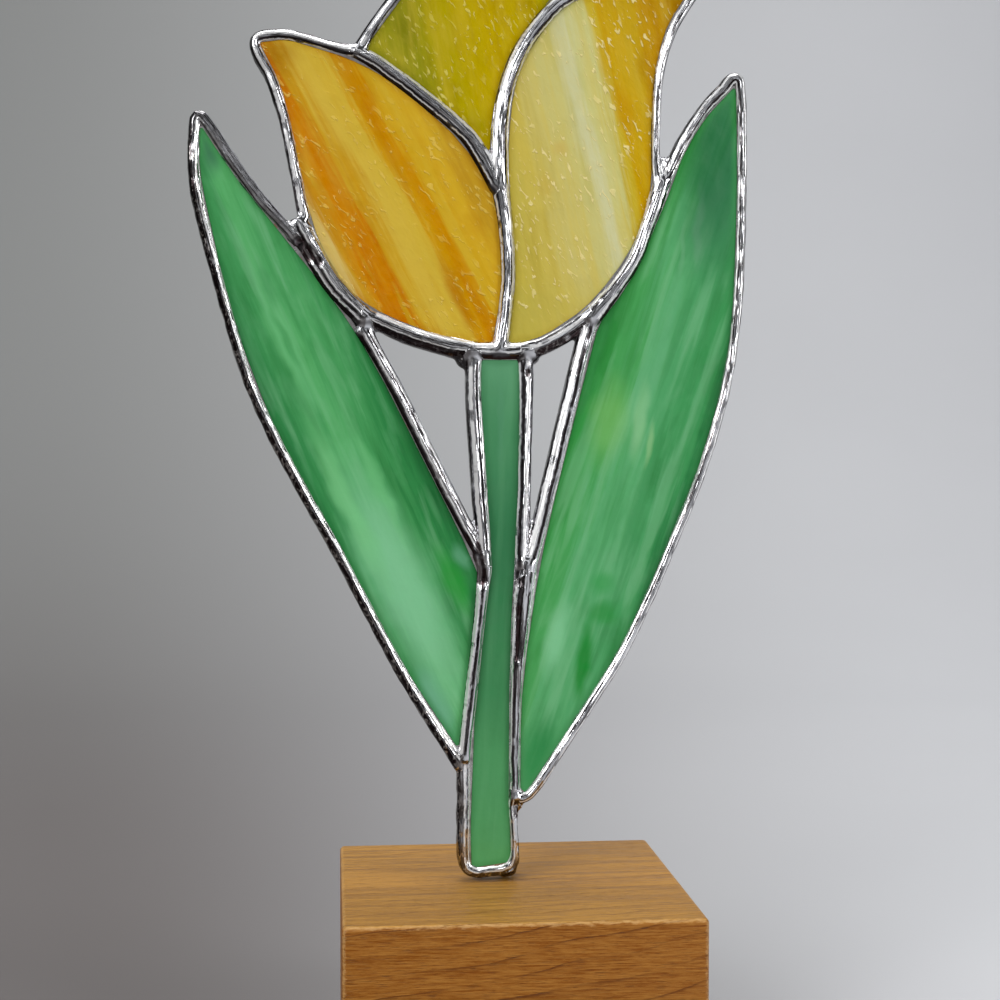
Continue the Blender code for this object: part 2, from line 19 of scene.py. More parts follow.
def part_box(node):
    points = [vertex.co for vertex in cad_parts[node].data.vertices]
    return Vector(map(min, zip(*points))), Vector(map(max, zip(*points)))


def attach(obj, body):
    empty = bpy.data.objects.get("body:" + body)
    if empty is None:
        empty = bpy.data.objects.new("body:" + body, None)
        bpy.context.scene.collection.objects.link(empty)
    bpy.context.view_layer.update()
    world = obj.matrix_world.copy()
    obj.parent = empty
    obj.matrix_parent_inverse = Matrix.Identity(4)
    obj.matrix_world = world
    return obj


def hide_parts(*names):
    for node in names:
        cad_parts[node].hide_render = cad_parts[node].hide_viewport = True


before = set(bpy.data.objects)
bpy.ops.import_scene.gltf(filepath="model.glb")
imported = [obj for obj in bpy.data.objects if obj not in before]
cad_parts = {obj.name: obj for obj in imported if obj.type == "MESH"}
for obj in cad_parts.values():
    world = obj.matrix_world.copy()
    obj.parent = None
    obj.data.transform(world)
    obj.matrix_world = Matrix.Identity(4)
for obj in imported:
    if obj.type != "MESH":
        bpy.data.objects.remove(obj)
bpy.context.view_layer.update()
BLOCK_LOW, BLOCK_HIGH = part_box("oak_block")
ROD_LOW, ROD_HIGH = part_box("support_rod")

bl_info = {
    "name": "Stained glass tulip",
    "version": (1, 0, 0),
    "blender": (4, 5, 0),
    "location": "View3D > Sidebar > Tulip",
    "description": "Dresses a foiled and soldered glass tulip on its oak block",
    "category": "Object",
}

MM = 0.001

# A bead is wider than its station says: by a factor, and by some millimetres on top
BEAD_SPREAD = 1.1
BEAD_EXTRA = 0.15

# How square a bead's section is, where 2 is an ellipse: on seams between two panes, and on rims
SEAM_SQUARENESS = 2.3
RIM_SQUARENESS = 2.8

# How much deeper the block's hole is than the rod
HOLE_ROOM = 0.5 * MM

# Sizes of the cloudy patterns that ripple the solder, and how deep those on the rod's two lumps are
LUMP_PITCH = 3.4 * MM
DIMPLE_PITCH = 1.1 * MM
TACK_PITCH = 2.2 * MM
TACK_LUMP = 0.5 * MM
TACK_SKIN = 0.3 * MM

# A bead's ends, where others run in: how many millimetres are plain, and over how many its lines begin
PLAIN_END = 0.8
END_FADE = 2.5

# How far each bead's lines start past the last bead's in their pattern, and a back's past its front's
LANE_STEP = 7.0
BACK_LANE = 30.0

# How much of a fully rough bead's shading is left uneven
ROUGH_SHADING = 0.75

# Hammered glass: the pattern's size and depth, and how far from the solder the glass lies flat, which also
# sets how far the painted shade along its edges reaches
HAMMER_PITCH = 1.6 * MM
HAMMER_DEPTH = 0.1 * MM
PANE_MARGIN = 4 * MM

# Solder beads: how high the crest stands from the glass's middle, then stations along the bead as
# (across, up, width) in the flower's plane.
BEADS = {
    "seam_left_petal_right_petal": (2.75, (
        (-2.2, 101.6, 3.4), (-1.4, 106.0, 2.9), (-0.7, 112.0, 2.7), (-0.5, 118.0, 2.8), (-0.9, 125.5, 2.9),
        (-1.6, 130.5, 3.2), (-2.2, 134.5, 3.9))),
    "seam_left_petal_back_petal": (2.75, (
        (-2.4, 132.6, 3.2), (-5.0, 137.8, 3.5), (-8.6, 142.9, 3.4), (-14.7, 148.2, 3.3),
        (-21.3, 153.2, 3.1), (-27.0, 156.9, 3.0), (-30.0, 158.3, 2.6))),
    "seam_back_petal_right_petal": (2.75, (
        (-2.1, 133.6, 3.7), (-2.1, 139.0, 3.6), (-1.9, 145.0, 3.4), (-0.9, 151.2, 3.1), (1.4, 157.6, 3.1),
        (4.9, 163.2, 2.9), (8.7, 167.5, 2.9), (12.6, 170.3, 3.0))),
    "seam_left_petal_stem": (2.6, ((-8.2, 101.9, 3.3), (-5.0, 101.8, 3.4), (-1.8, 101.7, 3.5))),
    "seam_right_petal_stem": (2.6, ((-2.4, 101.7, 3.5), (0.8, 101.8, 3.5), (4.0, 102.0, 3.3))),
    "seam_left_leaf_left_petal": (2.7, (
        (-26.9, 107.3, 4.4), (-30.2, 110.2, 4.2), (-34.0, 114.6, 4.1), (-37.2, 119.7, 4.3),
        (-39.7, 124.6, 4.4), (-40.6, 126.6, 3.6))),
    "seam_left_leaf_stem": (2.75, (
        (-9.0, 23.2, 2.8), (-8.5, 28.0, 2.5), (-7.7, 35.0, 2.5), (-6.6, 44.5, 2.3), (-5.6, 54.0, 2.4),
        (-5.0, 60.0, 3.0), (-5.6, 63.2, 4.0))),
    "seam_right_petal_right_leaf": (2.7, (
        (15.0, 107.6, 4.4), (17.4, 110.4, 3.8), (20.5, 114.2, 2.9), (24.0, 119.5, 2.8), (26.6, 126.3, 2.9),
        (28.6, 132.2, 3.6), (29.4, 134.8, 3.4))),
    "seam_right_leaf_stem": (2.75, (
        (0.9, 15.4, 2.4), (0.8, 20.0, 2.1), (0.9, 28.0, 2.1), (1.1, 36.5, 2.4), (1.5, 43.0, 3.0),
        (2.1, 50.0, 3.8), (2.8, 57.5, 4.5), (3.1, 62.0, 4.6))),
    "back_petal_rim": (2.3, (
        (10.0, 171.6, 2.2), (6.9, 175.4, 1.9), (2.5, 179.7, 2.0), (-4.8, 183.9, 2.0), (-10.6, 180.1, 2.0),
        (-16.2, 175.9, 2.0), (-22.2, 168.1, 2.0), (-26.4, 162.2, 2.1), (-28.8, 158.0, 2.6))),
    "left_petal_outer_rim": (2.3, (
        (-27.8, 157.9, 2.6), (-31.8, 158.4, 2.2), (-37.0, 159.7, 2.0), (-42.4, 160.9, 2.1),
        (-47.6, 160.3, 2.0), (-48.1, 158.6, 2.0), (-45.0, 152.4, 2.0), (-42.9, 146.0, 2.0),
        (-41.3, 138.5, 2.0), (-39.8, 131.0, 2.1), (-38.9, 126.4, 2.4))),
    "left_petal_lower_rim": (2.35, (
        (-28.2, 108.6, 3.4), (-25.0, 107.2, 3.2), (-19.6, 104.9, 3.4), (-13.4, 103.1, 3.5),
        (-9.4, 102.2, 3.8), (-6.0, 101.7, 3.6))),
    "right_petal_outer_rim": (2.3, (
        (28.6, 132.8, 2.4), (28.0, 138.0, 1.8), (28.1, 147.0, 1.8), (28.8, 155.5, 1.8), (31.2, 163.3, 1.8),
        (34.4, 168.9, 1.9), (38.2, 174.6, 2.0), (37.4, 175.4, 2.0), (31.6, 174.0, 2.0), (25.0, 172.4, 2.0),
        (18.0, 171.0, 2.1), (12.0, 169.8, 2.6))),
    "right_petal_lower_rim": (2.35, (
        (2.2, 101.9, 3.4), (5.6, 102.6, 3.3), (9.6, 104.6, 3.3), (12.6, 106.6, 3.2), (15.2, 108.6, 3.4))),
    "left_leaf_outer_rim": (2.3, (
        (-40.0, 121.8, 2.4), (-41.8, 124.0, 2.3), (-46.6, 129.2, 2.2), (-50.3, 133.9, 2.3),
        (-54.0, 139.3, 2.3), (-57.2, 144.2, 2.2), (-58.9, 145.4, 2.1), (-59.5, 142.5, 2.1),
        (-59.6, 136.0, 2.2), (-58.8, 129.6, 2.2), (-56.4, 119.6, 2.1), (-53.2, 107.6, 2.0),
        (-49.4, 95.6, 2.0), (-44.6, 84.9, 2.1), (-39.5, 75.2, 2.1), (-33.5, 64.5, 2.1), (-28.3, 54.6, 2.1),
        (-22.3, 43.2, 2.1), (-16.6, 33.4, 2.2), (-11.6, 25.6, 2.4), (-9.4, 22.2, 2.6))),
    "left_leaf_inner_rim": (2.3, (
        (-5.2, 62.0, 2.4), (-6.9, 65.0, 2.6), (-10.4, 71.7, 2.8), (-16.2, 83.2, 2.8), (-22.0, 94.8, 2.8),
        (-26.2, 102.3, 2.9), (-28.4, 106.2, 3.4))),
    "right_leaf_outer_rim": (2.3, (
        (0.8, 17.4, 2.2), (2.4, 15.9, 2.0), (5.0, 18.1, 2.0), (8.9, 23.9, 2.0), (15.2, 33.5, 2.0),
        (21.5, 43.3, 2.0), (26.7, 53.7, 1.9), (31.3, 64.4, 1.9), (35.8, 75.2, 1.9), (39.6, 86.3, 1.9),
        (42.4, 97.6, 1.9), (43.9, 109.2, 1.9), (44.6, 120.8, 1.9), (44.8, 132.5, 1.9), (44.8, 144.1, 1.9),
        (44.5, 151.5, 2.0), (43.6, 154.3, 2.2), (41.0, 152.0, 2.2), (37.6, 148.4, 2.1), (34.2, 143.2, 2.2),
        (31.6, 138.2, 2.3), (29.6, 133.6, 2.6))),
    "right_leaf_inner_rim": (2.3, (
        (15.6, 108.2, 3.2), (14.2, 103.2, 2.9), (12.4, 95.8, 3.0), (9.6, 84.0, 3.0), (6.8, 72.4, 2.9),
        (4.9, 64.6, 2.8), (3.8, 60.6, 2.8))),
    "stem_left_rim": (2.35, (
        (-6.8, 101.2, 3.0), (-7.0, 97.0, 2.9), (-6.8, 90.0, 2.9), (-6.2, 81.0, 2.9), (-5.7, 73.5, 2.9),
        (-5.1, 66.5, 2.6), (-4.8, 61.4, 2.4))),
    "stem_right_rim": (2.35, (
        (2.2, 59.4, 2.8), (2.2, 64.0, 2.7), (2.6, 73.0, 2.6), (2.8, 82.0, 2.5), (3.0, 91.0, 2.6),
        (3.0, 97.0, 2.8), (2.8, 101.2, 3.0))),
    "stem_foot_rim": (2.3, (
        (-9.0, 24.2, 2.4), (-8.9, 18.0, 2.4), (-9.0, 11.0, 2.3), (-9.0, 6.0, 2.2), (-8.5, 2.8, 2.1),
        (-6.6, 1.7, 2.0), (-3.6, 1.9, 1.9), (-1.2, 2.2, 2.3), (0.4, 3.2, 2.2), (0.9, 6.0, 1.6),
        (0.7, 10.5, 1.5), (0.6, 14.0, 1.9), (0.8, 17.0, 2.2))),
}

# How strongly each bead froze in lumps, and how far the others did
ROUGH_BEADS = {"left_leaf_outer_rim": 0.9, "right_leaf_outer_rim": 0.6, "stem_foot_rim": 1.3,
               "left_petal_outer_rim": 0.9, "stem_right_rim": 0.5, "left_petal_lower_rim": 0.7,
               "right_petal_lower_rim": 0.7, "seam_right_petal_right_leaf": 0.5}
SMOOTH_BEAD = 0.15

# How tarnished each bead's front is, where the others are bright, and how tarnished all the backs are
# Tarnish also widens the painted shade on a bead's underside
TARNISHED_BEADS = {"left_leaf_outer_rim": 0.55, "stem_foot_rim": 0.7, "right_leaf_outer_rim": 0.3,
                   "left_petal_lower_rim": 0.25, "right_petal_lower_rim": 0.3, "left_petal_outer_rim": 0.1}
BACK_TARNISH = 0.4

# How many millimetres of a tarnished bead are bright from its start, and over how many it turns
BRIGHT_STARTS = {"left_leaf_outer_rim": 30.0}
BRIGHT_FADE = 8.0

# How strong the painted reflection bands below are on tarnished solder and on the backs, where bright
# fronts have 1
FAINT_REFLECTIONS = 0.3

# Painted reflections: bright and dark bands along each bead's front: two dark ones, then two light ones,
# each as its middle and half width, from -1 at the bead's left side to 1 at its right side as the bead
# runs, which is the outer side of a rim.
REFLECTION_BANDS = {
    "seam_left_petal_right_petal": ((-0.5, 0.07), (0.42, 0.06), (-0.78, 0.10), (0.68, 0.14)),
    "seam_left_petal_back_petal": ((-0.88, 0.16), (-0.3, 0.08), (0.75, 0.16), (-0.55, 0.07)),
    "seam_back_petal_right_petal": ((-0.95, 0.07), (0.55, 0.10), (-0.6, 0.15), (0.85, 0.08)),
    "seam_left_petal_stem": ((0.75, 0.28), (-0.95, 0.05), (-0.5, 0.25), (0.1, 0.08)),
    "seam_right_petal_stem": ((0.75, 0.28), (-0.2, 0.08), (-0.6, 0.20), (0.1, 0.08)),
    "seam_left_leaf_left_petal": ((-0.8, 0.20), (-0.2, 0.10), (-0.5, 0.08), (0.05, 0.06)),
    "seam_left_leaf_stem": ((0.02, 0.20), (-1.05, 0.08), (-0.62, 0.28), (0.9, 0.08)),
    "seam_right_petal_right_leaf": ((-0.5, 0.07), (0.78, 0.12), (-0.8, 0.10), (0.45, 0.12)),
    "seam_right_leaf_stem": ((-0.3, 0.24), (0.45, 0.08), (-0.75, 0.10), (0.85, 0.10)),
    "back_petal_rim": ((0.85, 0.10), (-0.7, 0.10), (0.2, 0.25), (-0.95, 0.05)),
    "left_petal_outer_rim": ((0.9, 0.14), (-0.55, 0.12), (0.3, 0.30), (-0.9, 0.08)),
    "left_petal_lower_rim": ((0.6, 0.34), (-0.2, 0.06), (-0.72, 0.22), (0.2, 0.08)),
    "right_petal_outer_rim": ((0.2, 0.12), (-0.98, 0.08), (0.65, 0.15), (-0.6, 0.15)),
    "right_petal_lower_rim": ((0.55, 0.36), (-0.6, 0.06), (-0.9, 0.10), (-0.25, 0.18)),
    "left_leaf_outer_rim": ((0.62, 0.42), (-0.05, 0.08), (-0.38, 0.13), (-0.85, 0.08)),
    "left_leaf_inner_rim": ((-0.68, 0.26), (0.45, 0.08), (0.75, 0.14), (-0.1, 0.12)),
    "right_leaf_outer_rim": ((-0.35, 0.12), (0.98, 0.10), (-0.72, 0.12), (0.65, 0.14)),
    "right_leaf_inner_rim": ((-0.2, 0.20), (1.0, 0.08), (0.5, 0.36), (-0.9, 0.10)),
    "stem_left_rim": ((0.98, 0.10), (-0.35, 0.11), (0.45, 0.25), (-0.8, 0.12)),
    "stem_right_rim": ((-0.4, 0.22), (0.95, 0.08), (-0.85, 0.10), (0.25, 0.22)),
    "stem_foot_rim": ((0.9, 0.16), (-0.52, 0.08), (-0.1, 0.13), (-0.85, 0.12)),
}

# Puddles and webs of solder where beads meet, and drops: across, up, radius, crest
PUDDLES = (
    (-2.3, 133.3, 2.2, 2.5), (-29.0, 157.9, 1.8, 2.3), (-39.9, 123.4, 1.8, 1.95), (-38.6, 125.0, 1.3, 2.3),
    (-41.5, 122.8, 1.3, 2.1), (-8.3, 100.5, 2.2, 2.3), (3.9, 101.2, 2.1, 2.4), (3.2, 99.3, 1.4, 2.35),
    (3.5, 96.0, 1.1, 2.45), (-27.6, 106.6, 2.2, 2.3), (15.2, 107.5, 2.2, 2.3), (29.3, 135.3, 2.4, 2.35),
    (30.0, 137.8, 1.6, 2.2), (-7.4, 67.1, 1.4, 1.9), (-6.6, 65.3, 1.6, 2.1), (3.3, 61.0, 1.7, 2.1),
    (2.7, 58.6, 1.0, 3.0), (2.1, 56.4, 1.0, 3.05), (1.5, 54.2, 0.95, 2.95), (-9.5, 23.5, 1.6, 2.35),
    (1.2, 14.5, 1.4, 2.3), (2.3, 15.7, 1.1, 2.1), (0.0, 1.9, 1.4, 2.35), (-1.2, 0.85, 0.6, 1.6),
)

# Grooves and pockets left in the solder's front: from and to (across, up), radius, depth left, darkness
GROOVES = (
    (-39.7, 121.6, -38.0, 119.5, 1.3, 1.7, 0.95), (-36.7, 118.8, -36.3, 118.2, 0.8, 1.75, 0.9),
    (3.3, 98.0, 3.3, 97.3, 0.6, 1.7, 0.95), (-8.7, 66.0, -5.7, 57.8, 0.95, 1.8, 1.0),
    (-6.3, 64.8, -4.9, 58.0, 0.7, 1.95, 0.95), (1.5, 52.6, 1.45, 42.9, 0.7, 2.0, 0.85),
    (1.7, 60.4, 1.2, 57.2, 0.6, 2.0, 0.65), (1.3, 41.0, 0.9, 17.0, 0.3, 2.4, 0.4),
    (-7.9, 33.0, -5.6, 55.0, 0.3, 2.4, 0.4), (-4.2, 100.0, 1.4, 100.1, 0.9, 1.9, 0.8),
    (1.0, 14.6, 1.2, 12.8, 0.8, 1.9, 0.8), (-20.0, 103.7, -13.0, 101.9, 0.8, 2.0, 0.6),
    (6.2, 101.6, 13.0, 105.4, 0.8, 2.0, 0.6),
)


def active(piece):
    """Leaves one piece selected and active."""
    bpy.ops.object.select_all(action="DESELECT")
    piece.select_set(True)
    bpy.context.view_layer.objects.active = piece


def settle(piece):
    """Puts a piece's origin at zero, unturned and unscaled, without moving its mesh."""
    active(piece)
    bpy.ops.object.transform_apply(location=True, rotation=True, scale=True)
    return piece


@contextmanager
def editing(action="SELECT"):
    """Edit mode on the active piece, which starts with all of it selected, or none."""
    bpy.ops.object.mode_set(mode="EDIT")
    bpy.ops.mesh.select_all(action=action)
    yield
    bpy.ops.object.mode_set(mode="OBJECT")


def apply_modifiers(piece):
    """Applies all the piece's modifiers in order."""
    active(piece)
    for modifier in list(piece.modifiers):
        bpy.ops.object.modifier_apply(modifier=modifier.name)


def clamped(value):
    """A number held between 0 and 1."""
    return min(max(value, 0.0), 1.0)


def flattened(place):
    """A place moved straight back into the flower's plane."""
    return Vector((place.x, 0.0, place.z))


def smooth_line(stations, step=0.8):
    """Dense stations on a smooth line through a bead's own stations."""
    points = [Vector(station) for station in stations]
    headings = []
    for index in range(len(points)):
        before = points[max(index - 1, 0)]
        after = points[min(index + 1, len(points) - 1)]
        headings.append((after - before).normalized())
    line = [points[0]]
    for index in range(len(points) - 1):
        start, end = points[index], points[index + 1]
        handle = (end - start).length / 3
        count = max(2, math.ceil((end - start).length / step)) + 1
        line += interpolate_bezier(start, start + headings[index] * handle,
                                   end - headings[index + 1] * handle, end, count)[1:]
    return line


def bead_tube(name, crest, stations, squareness, lift):
    """A closed tube along one bead, as wide as its stations say and as deep as its crest."""
    line = smooth_line(stations)
    path = bpy.data.curves.new(name, "CURVE")
    path.dimensions = "3D"
    path.bevel_depth = 1.0
    path.bevel_resolution = 4
    spline = path.splines.new("POLY")
    spline.points.add(len(line) - 1)
    for point, (across, up, width) in zip(spline.points, line):
        point.co = (across * MM, 0.0, up * MM + lift, 1.0)
        point.radius = (width * BEAD_SPREAD + BEAD_EXTRA) * MM / 2
    tube = bpy.data.objects.new(name, path)
    bpy.context.scene.collection.objects.link(tube)
    active(tube)
    bpy.ops.object.convert(target="MESH")
    count = len(tube.data.vertices) // len(line)
    for index, vertex in enumerate(tube.data.vertices):
        across, up, width = line[index // count]
        centre = Vector((across * MM, 0.0, up * MM + lift))
        away = vertex.co - centre
        side = flattened(away)
        radius = max(away.length, 1e-9)
        cosine, sine = side.length / radius, abs(away.y) / radius
        wide = radius * cosine ** (2 / squareness)
        deep = crest * MM * sine ** (2 / squareness)
        side = side.normalized() * wide if side.length > 1e-9 else side
        vertex.co = centre + side + Vector((0.0, math.copysign(deep, away.y), 0.0))
    with editing():
        bpy.ops.mesh.fill_holes(sides=0)
        bpy.ops.mesh.normals_make_consistent(inside=False)
    return tube


def clouds(name, size):
    """A soft cloudy texture for displacement."""
    texture = bpy.data.textures.new(name, "CLOUDS")
    texture.noise_scale = size
    texture.noise_depth = 1
    texture.noise_basis = "ORIGINAL_PERLIN"
    return texture


def remesh(piece, voxel):
    """Turns a piece's mesh into one even skin."""
    skin = piece.modifiers.new("skin", "REMESH")
    skin.mode = "VOXEL"
    skin.voxel_size = voxel
    skin.adaptivity = 0.0


def ripple(piece, name, size, height, group=""):
    """Pushes a piece's skin in and out by a cloudy pattern."""
    wave = piece.modifiers.new(name, "DISPLACE")
    wave.texture = clouds(name, size)
    wave.texture_coords = "LOCAL"
    wave.direction = "NORMAL"
    wave.mid_level = 0.5
    wave.strength = height
    wave.vertex_group = group


def relax(piece, times, factor=0.5):
    """Softens the steps that a remesh leaves."""
    soft = piece.modifiers.new("soften", "SMOOTH")
    soft.factor = factor
    soft.iterations = times


def bead_finder(lift):
    """A search tree of places along all beads, and their marks.

    Each mark holds the place, the bead's number, its half width and heading there, and how far along it is.
    """
    marks = []
    for index, (_, stations) in enumerate(BEADS.values()):
        line = smooth_line(stations, 0.3)
        run = 0.0
        for number, (across, up, width) in enumerate(line):
            ahead = line[min(number + 1, len(line) - 1)] - line[max(number - 1, 0)]
            heading = Vector((ahead.x, 0.0, ahead.y)).normalized()
            place = Vector((across * MM, 0.0, up * MM + lift))
            if number:
                run += (place - marks[-1][0]).length
            marks.append((place, index, width * MM / 2, heading, run))
    tree = KDTree(len(marks))
    for number, mark in enumerate(marks):
        tree.insert(mark[0], number)
    tree.balance()
    return tree, marks


def groove_depth(across, up):
    """How deep in a groove a point of the solder's front lies: share, depth left and darkness."""
    best = (0.0, 0.0, 0.0)
    point = Vector((across, up))
    for x0, z0, x1, z1, radius, left, dark in GROOVES:
        if min(x0, x1) - 2 < across < max(x0, x1) + 2 and min(z0, z1) - 2 < up < max(z0, z1) + 2:
            start, end = Vector((x0, z0)), Vector((x1, z1))
            along = clamped((point - start).dot(end - start) / max((end - start).length_squared, 1e-9))
            away = (point - start.lerp(end, along)).length / radius
            share = clamped(1.6 - 1.25 * away)
            share = share * share * (3 - 2 * share)
            if share > best[0]:
                best = (share, left, dark)
    return best


# Materials


class Shader:
    """A material's or the world's node tree, with short ways to add nodes and join them."""

    def __init__(self, name, world=None):
        self.material = world or bpy.data.materials.new(name)
        self.material.use_nodes = True
        self.tree = self.material.node_tree
        self.surface = self.tree.nodes["Background" if world else "Principled BSDF"]
        self.place = self.add("ShaderNodeTexCoord").outputs["Generated" if world else "Object"]

    def add(self, kind, inputs=(), **settings):
        """Adds a node; inputs are pairs of a socket and its value or the output that feeds it."""
        node = self.tree.nodes.new(kind)
        for key, value in settings.items():
            setattr(node, key, value)
        for socket, value in inputs:
            self.feed(node.inputs[socket], value)
        return node

    def feed(self, socket, value):
        """Sets a socket's value, or links an output to it."""
        if isinstance(value, bpy.types.NodeSocket):
            self.tree.links.new(value, socket)
        else:
            socket.default_value = value

    def set(self, **values):
        """Feeds the shader's own sockets."""
        for name, value in values.items():
            self.feed(self.surface.inputs[name.replace("_", " ")], value)

    def math(self, operation, first, second=0.0, third=0.0):
        """One sum."""
        node = self.add("ShaderNodeMath", ((0, first), (1, second), (2, third)), operation=operation)
        return node.outputs[0]

    def times(self, first, second):
        """One value times another."""
        return self.math("MULTIPLY", first, second)

    def minus(self, first, second):
        """One value less another."""
        return self.math("SUBTRACT", first, second)

    def times_plus(self, first, second, third):
        """One value times another, and a third on top."""
        return self.math("MULTIPLY_ADD", first, second, third)

    def sway(self, value, noise, reach):
        """A value pushed up and down by a noise."""
        return self.times_plus(self.minus(noise, 0.5), reach, value)

    def toward(self, vector, way):
        """How far a vector points along a way."""
        node = self.add("ShaderNodeVectorMath", ((0, vector), (1, way)), operation="DOT_PRODUCT")
        return node.outputs["Value"]

    def axes(self, vector):
        """A vector's three parts."""
        return self.add("ShaderNodeSeparateXYZ", ((0, vector),)).outputs

    def normal(self):
        """The way the surface faces."""
        return self.add("ShaderNodeNewGeometry").outputs["Normal"]

    def layer(self, name, output="Fac"):
        """What one of the mesh's own attributes says."""
        return self.add("ShaderNodeAttribute", attribute_name=name).outputs[output]

    def mapped(self, turn=(0, 0, 0), scale=(1, 1, 1), shift=(0, 0, 0), source=None):
        """The object's own coordinates, moved, turned and stretched."""
        node = self.add("ShaderNodeMapping", (("Vector", source or self.place), ("Location", shift),
                                              ("Rotation", turn), ("Scale", scale)))
        return node.outputs[0]

    def noise(self, vector, scale, detail=2.0, roughness=0.5, distortion=0.0):
        """A grey noise, mostly between 0.3 and 0.7."""
        node = self.add("ShaderNodeTexNoise", (("Vector", vector), ("Scale", scale), ("Detail", detail),
                                               ("Roughness", roughness), ("Distortion", distortion)))
        return node.outputs["Fac"]

    def span(self, value, low, high, to_low=0.0, to_high=1.0, smooth=False):
        """Maps a range to another, clamped."""
        node = self.add("ShaderNodeMapRange", (("Value", value), ("From Min", low), ("From Max", high),
                                               ("To Min", to_low), ("To Max", to_high)))
        node.interpolation_type = "SMOOTHSTEP" if smooth else "LINEAR"
        return node.outputs["Result"]

    def over(self, colour, other, value, low, high, share=1.0, smooth=False):
        """Another colour over the first, up to a share of it as a value goes from low to high."""
        return self.mix(self.span(value, low, high, 0.0, share, smooth), colour, other)

    def ramp(self, value, stops, interpolation="EASE"):
        """A colour along a ramp; stops are pairs of a position and a linear colour."""
        node = self.add("ShaderNodeValToRGB", (("Fac", value),))
        ramp = node.color_ramp
        ramp.interpolation = interpolation
        while len(ramp.elements) < len(stops):
            ramp.elements.new(1.0)
        for element, (position, _) in zip(ramp.elements, stops):
            element.position = position
        for element, (_, colour) in zip(ramp.elements, stops):
            element.color = (*colour, 1.0)
        return node.outputs["Color"]

    def mix(self, share, first, second, blend="MIX"):
        """Mixes two colours."""
        node = self.tree.nodes.new("ShaderNodeMix")
        node.data_type = "RGBA"
        node.blend_type = blend
        for index, value in ((0, share), (6, first), (7, second)):
            if isinstance(value, tuple) and len(value) == 3:
                value = (*value, 1.0)
            self.feed(node.inputs[index], value)
        return node.outputs[2]

    def bump(self, height, strength, distance, under=None):
        """A bump from a height in metres."""
        inputs = [("Height", height), ("Strength", strength), ("Distance", distance)]
        if under is not None:
            inputs.append(("Normal", under))
        return self.add("ShaderNodeBump", inputs).outputs["Normal"]


def linear(red, green, blue):
    """A display colour of 0 to 255 as linear light."""
    return tuple((value / 255 / 12.92) if value <= 10 else ((value / 255 + 0.055) / 1.055) ** 2.4
                 for value in (red, green, blue))


def dress(piece, shader):
    """Gives a piece one material."""
    piece.data.materials.clear()
    piece.data.materials.append(shader.material)


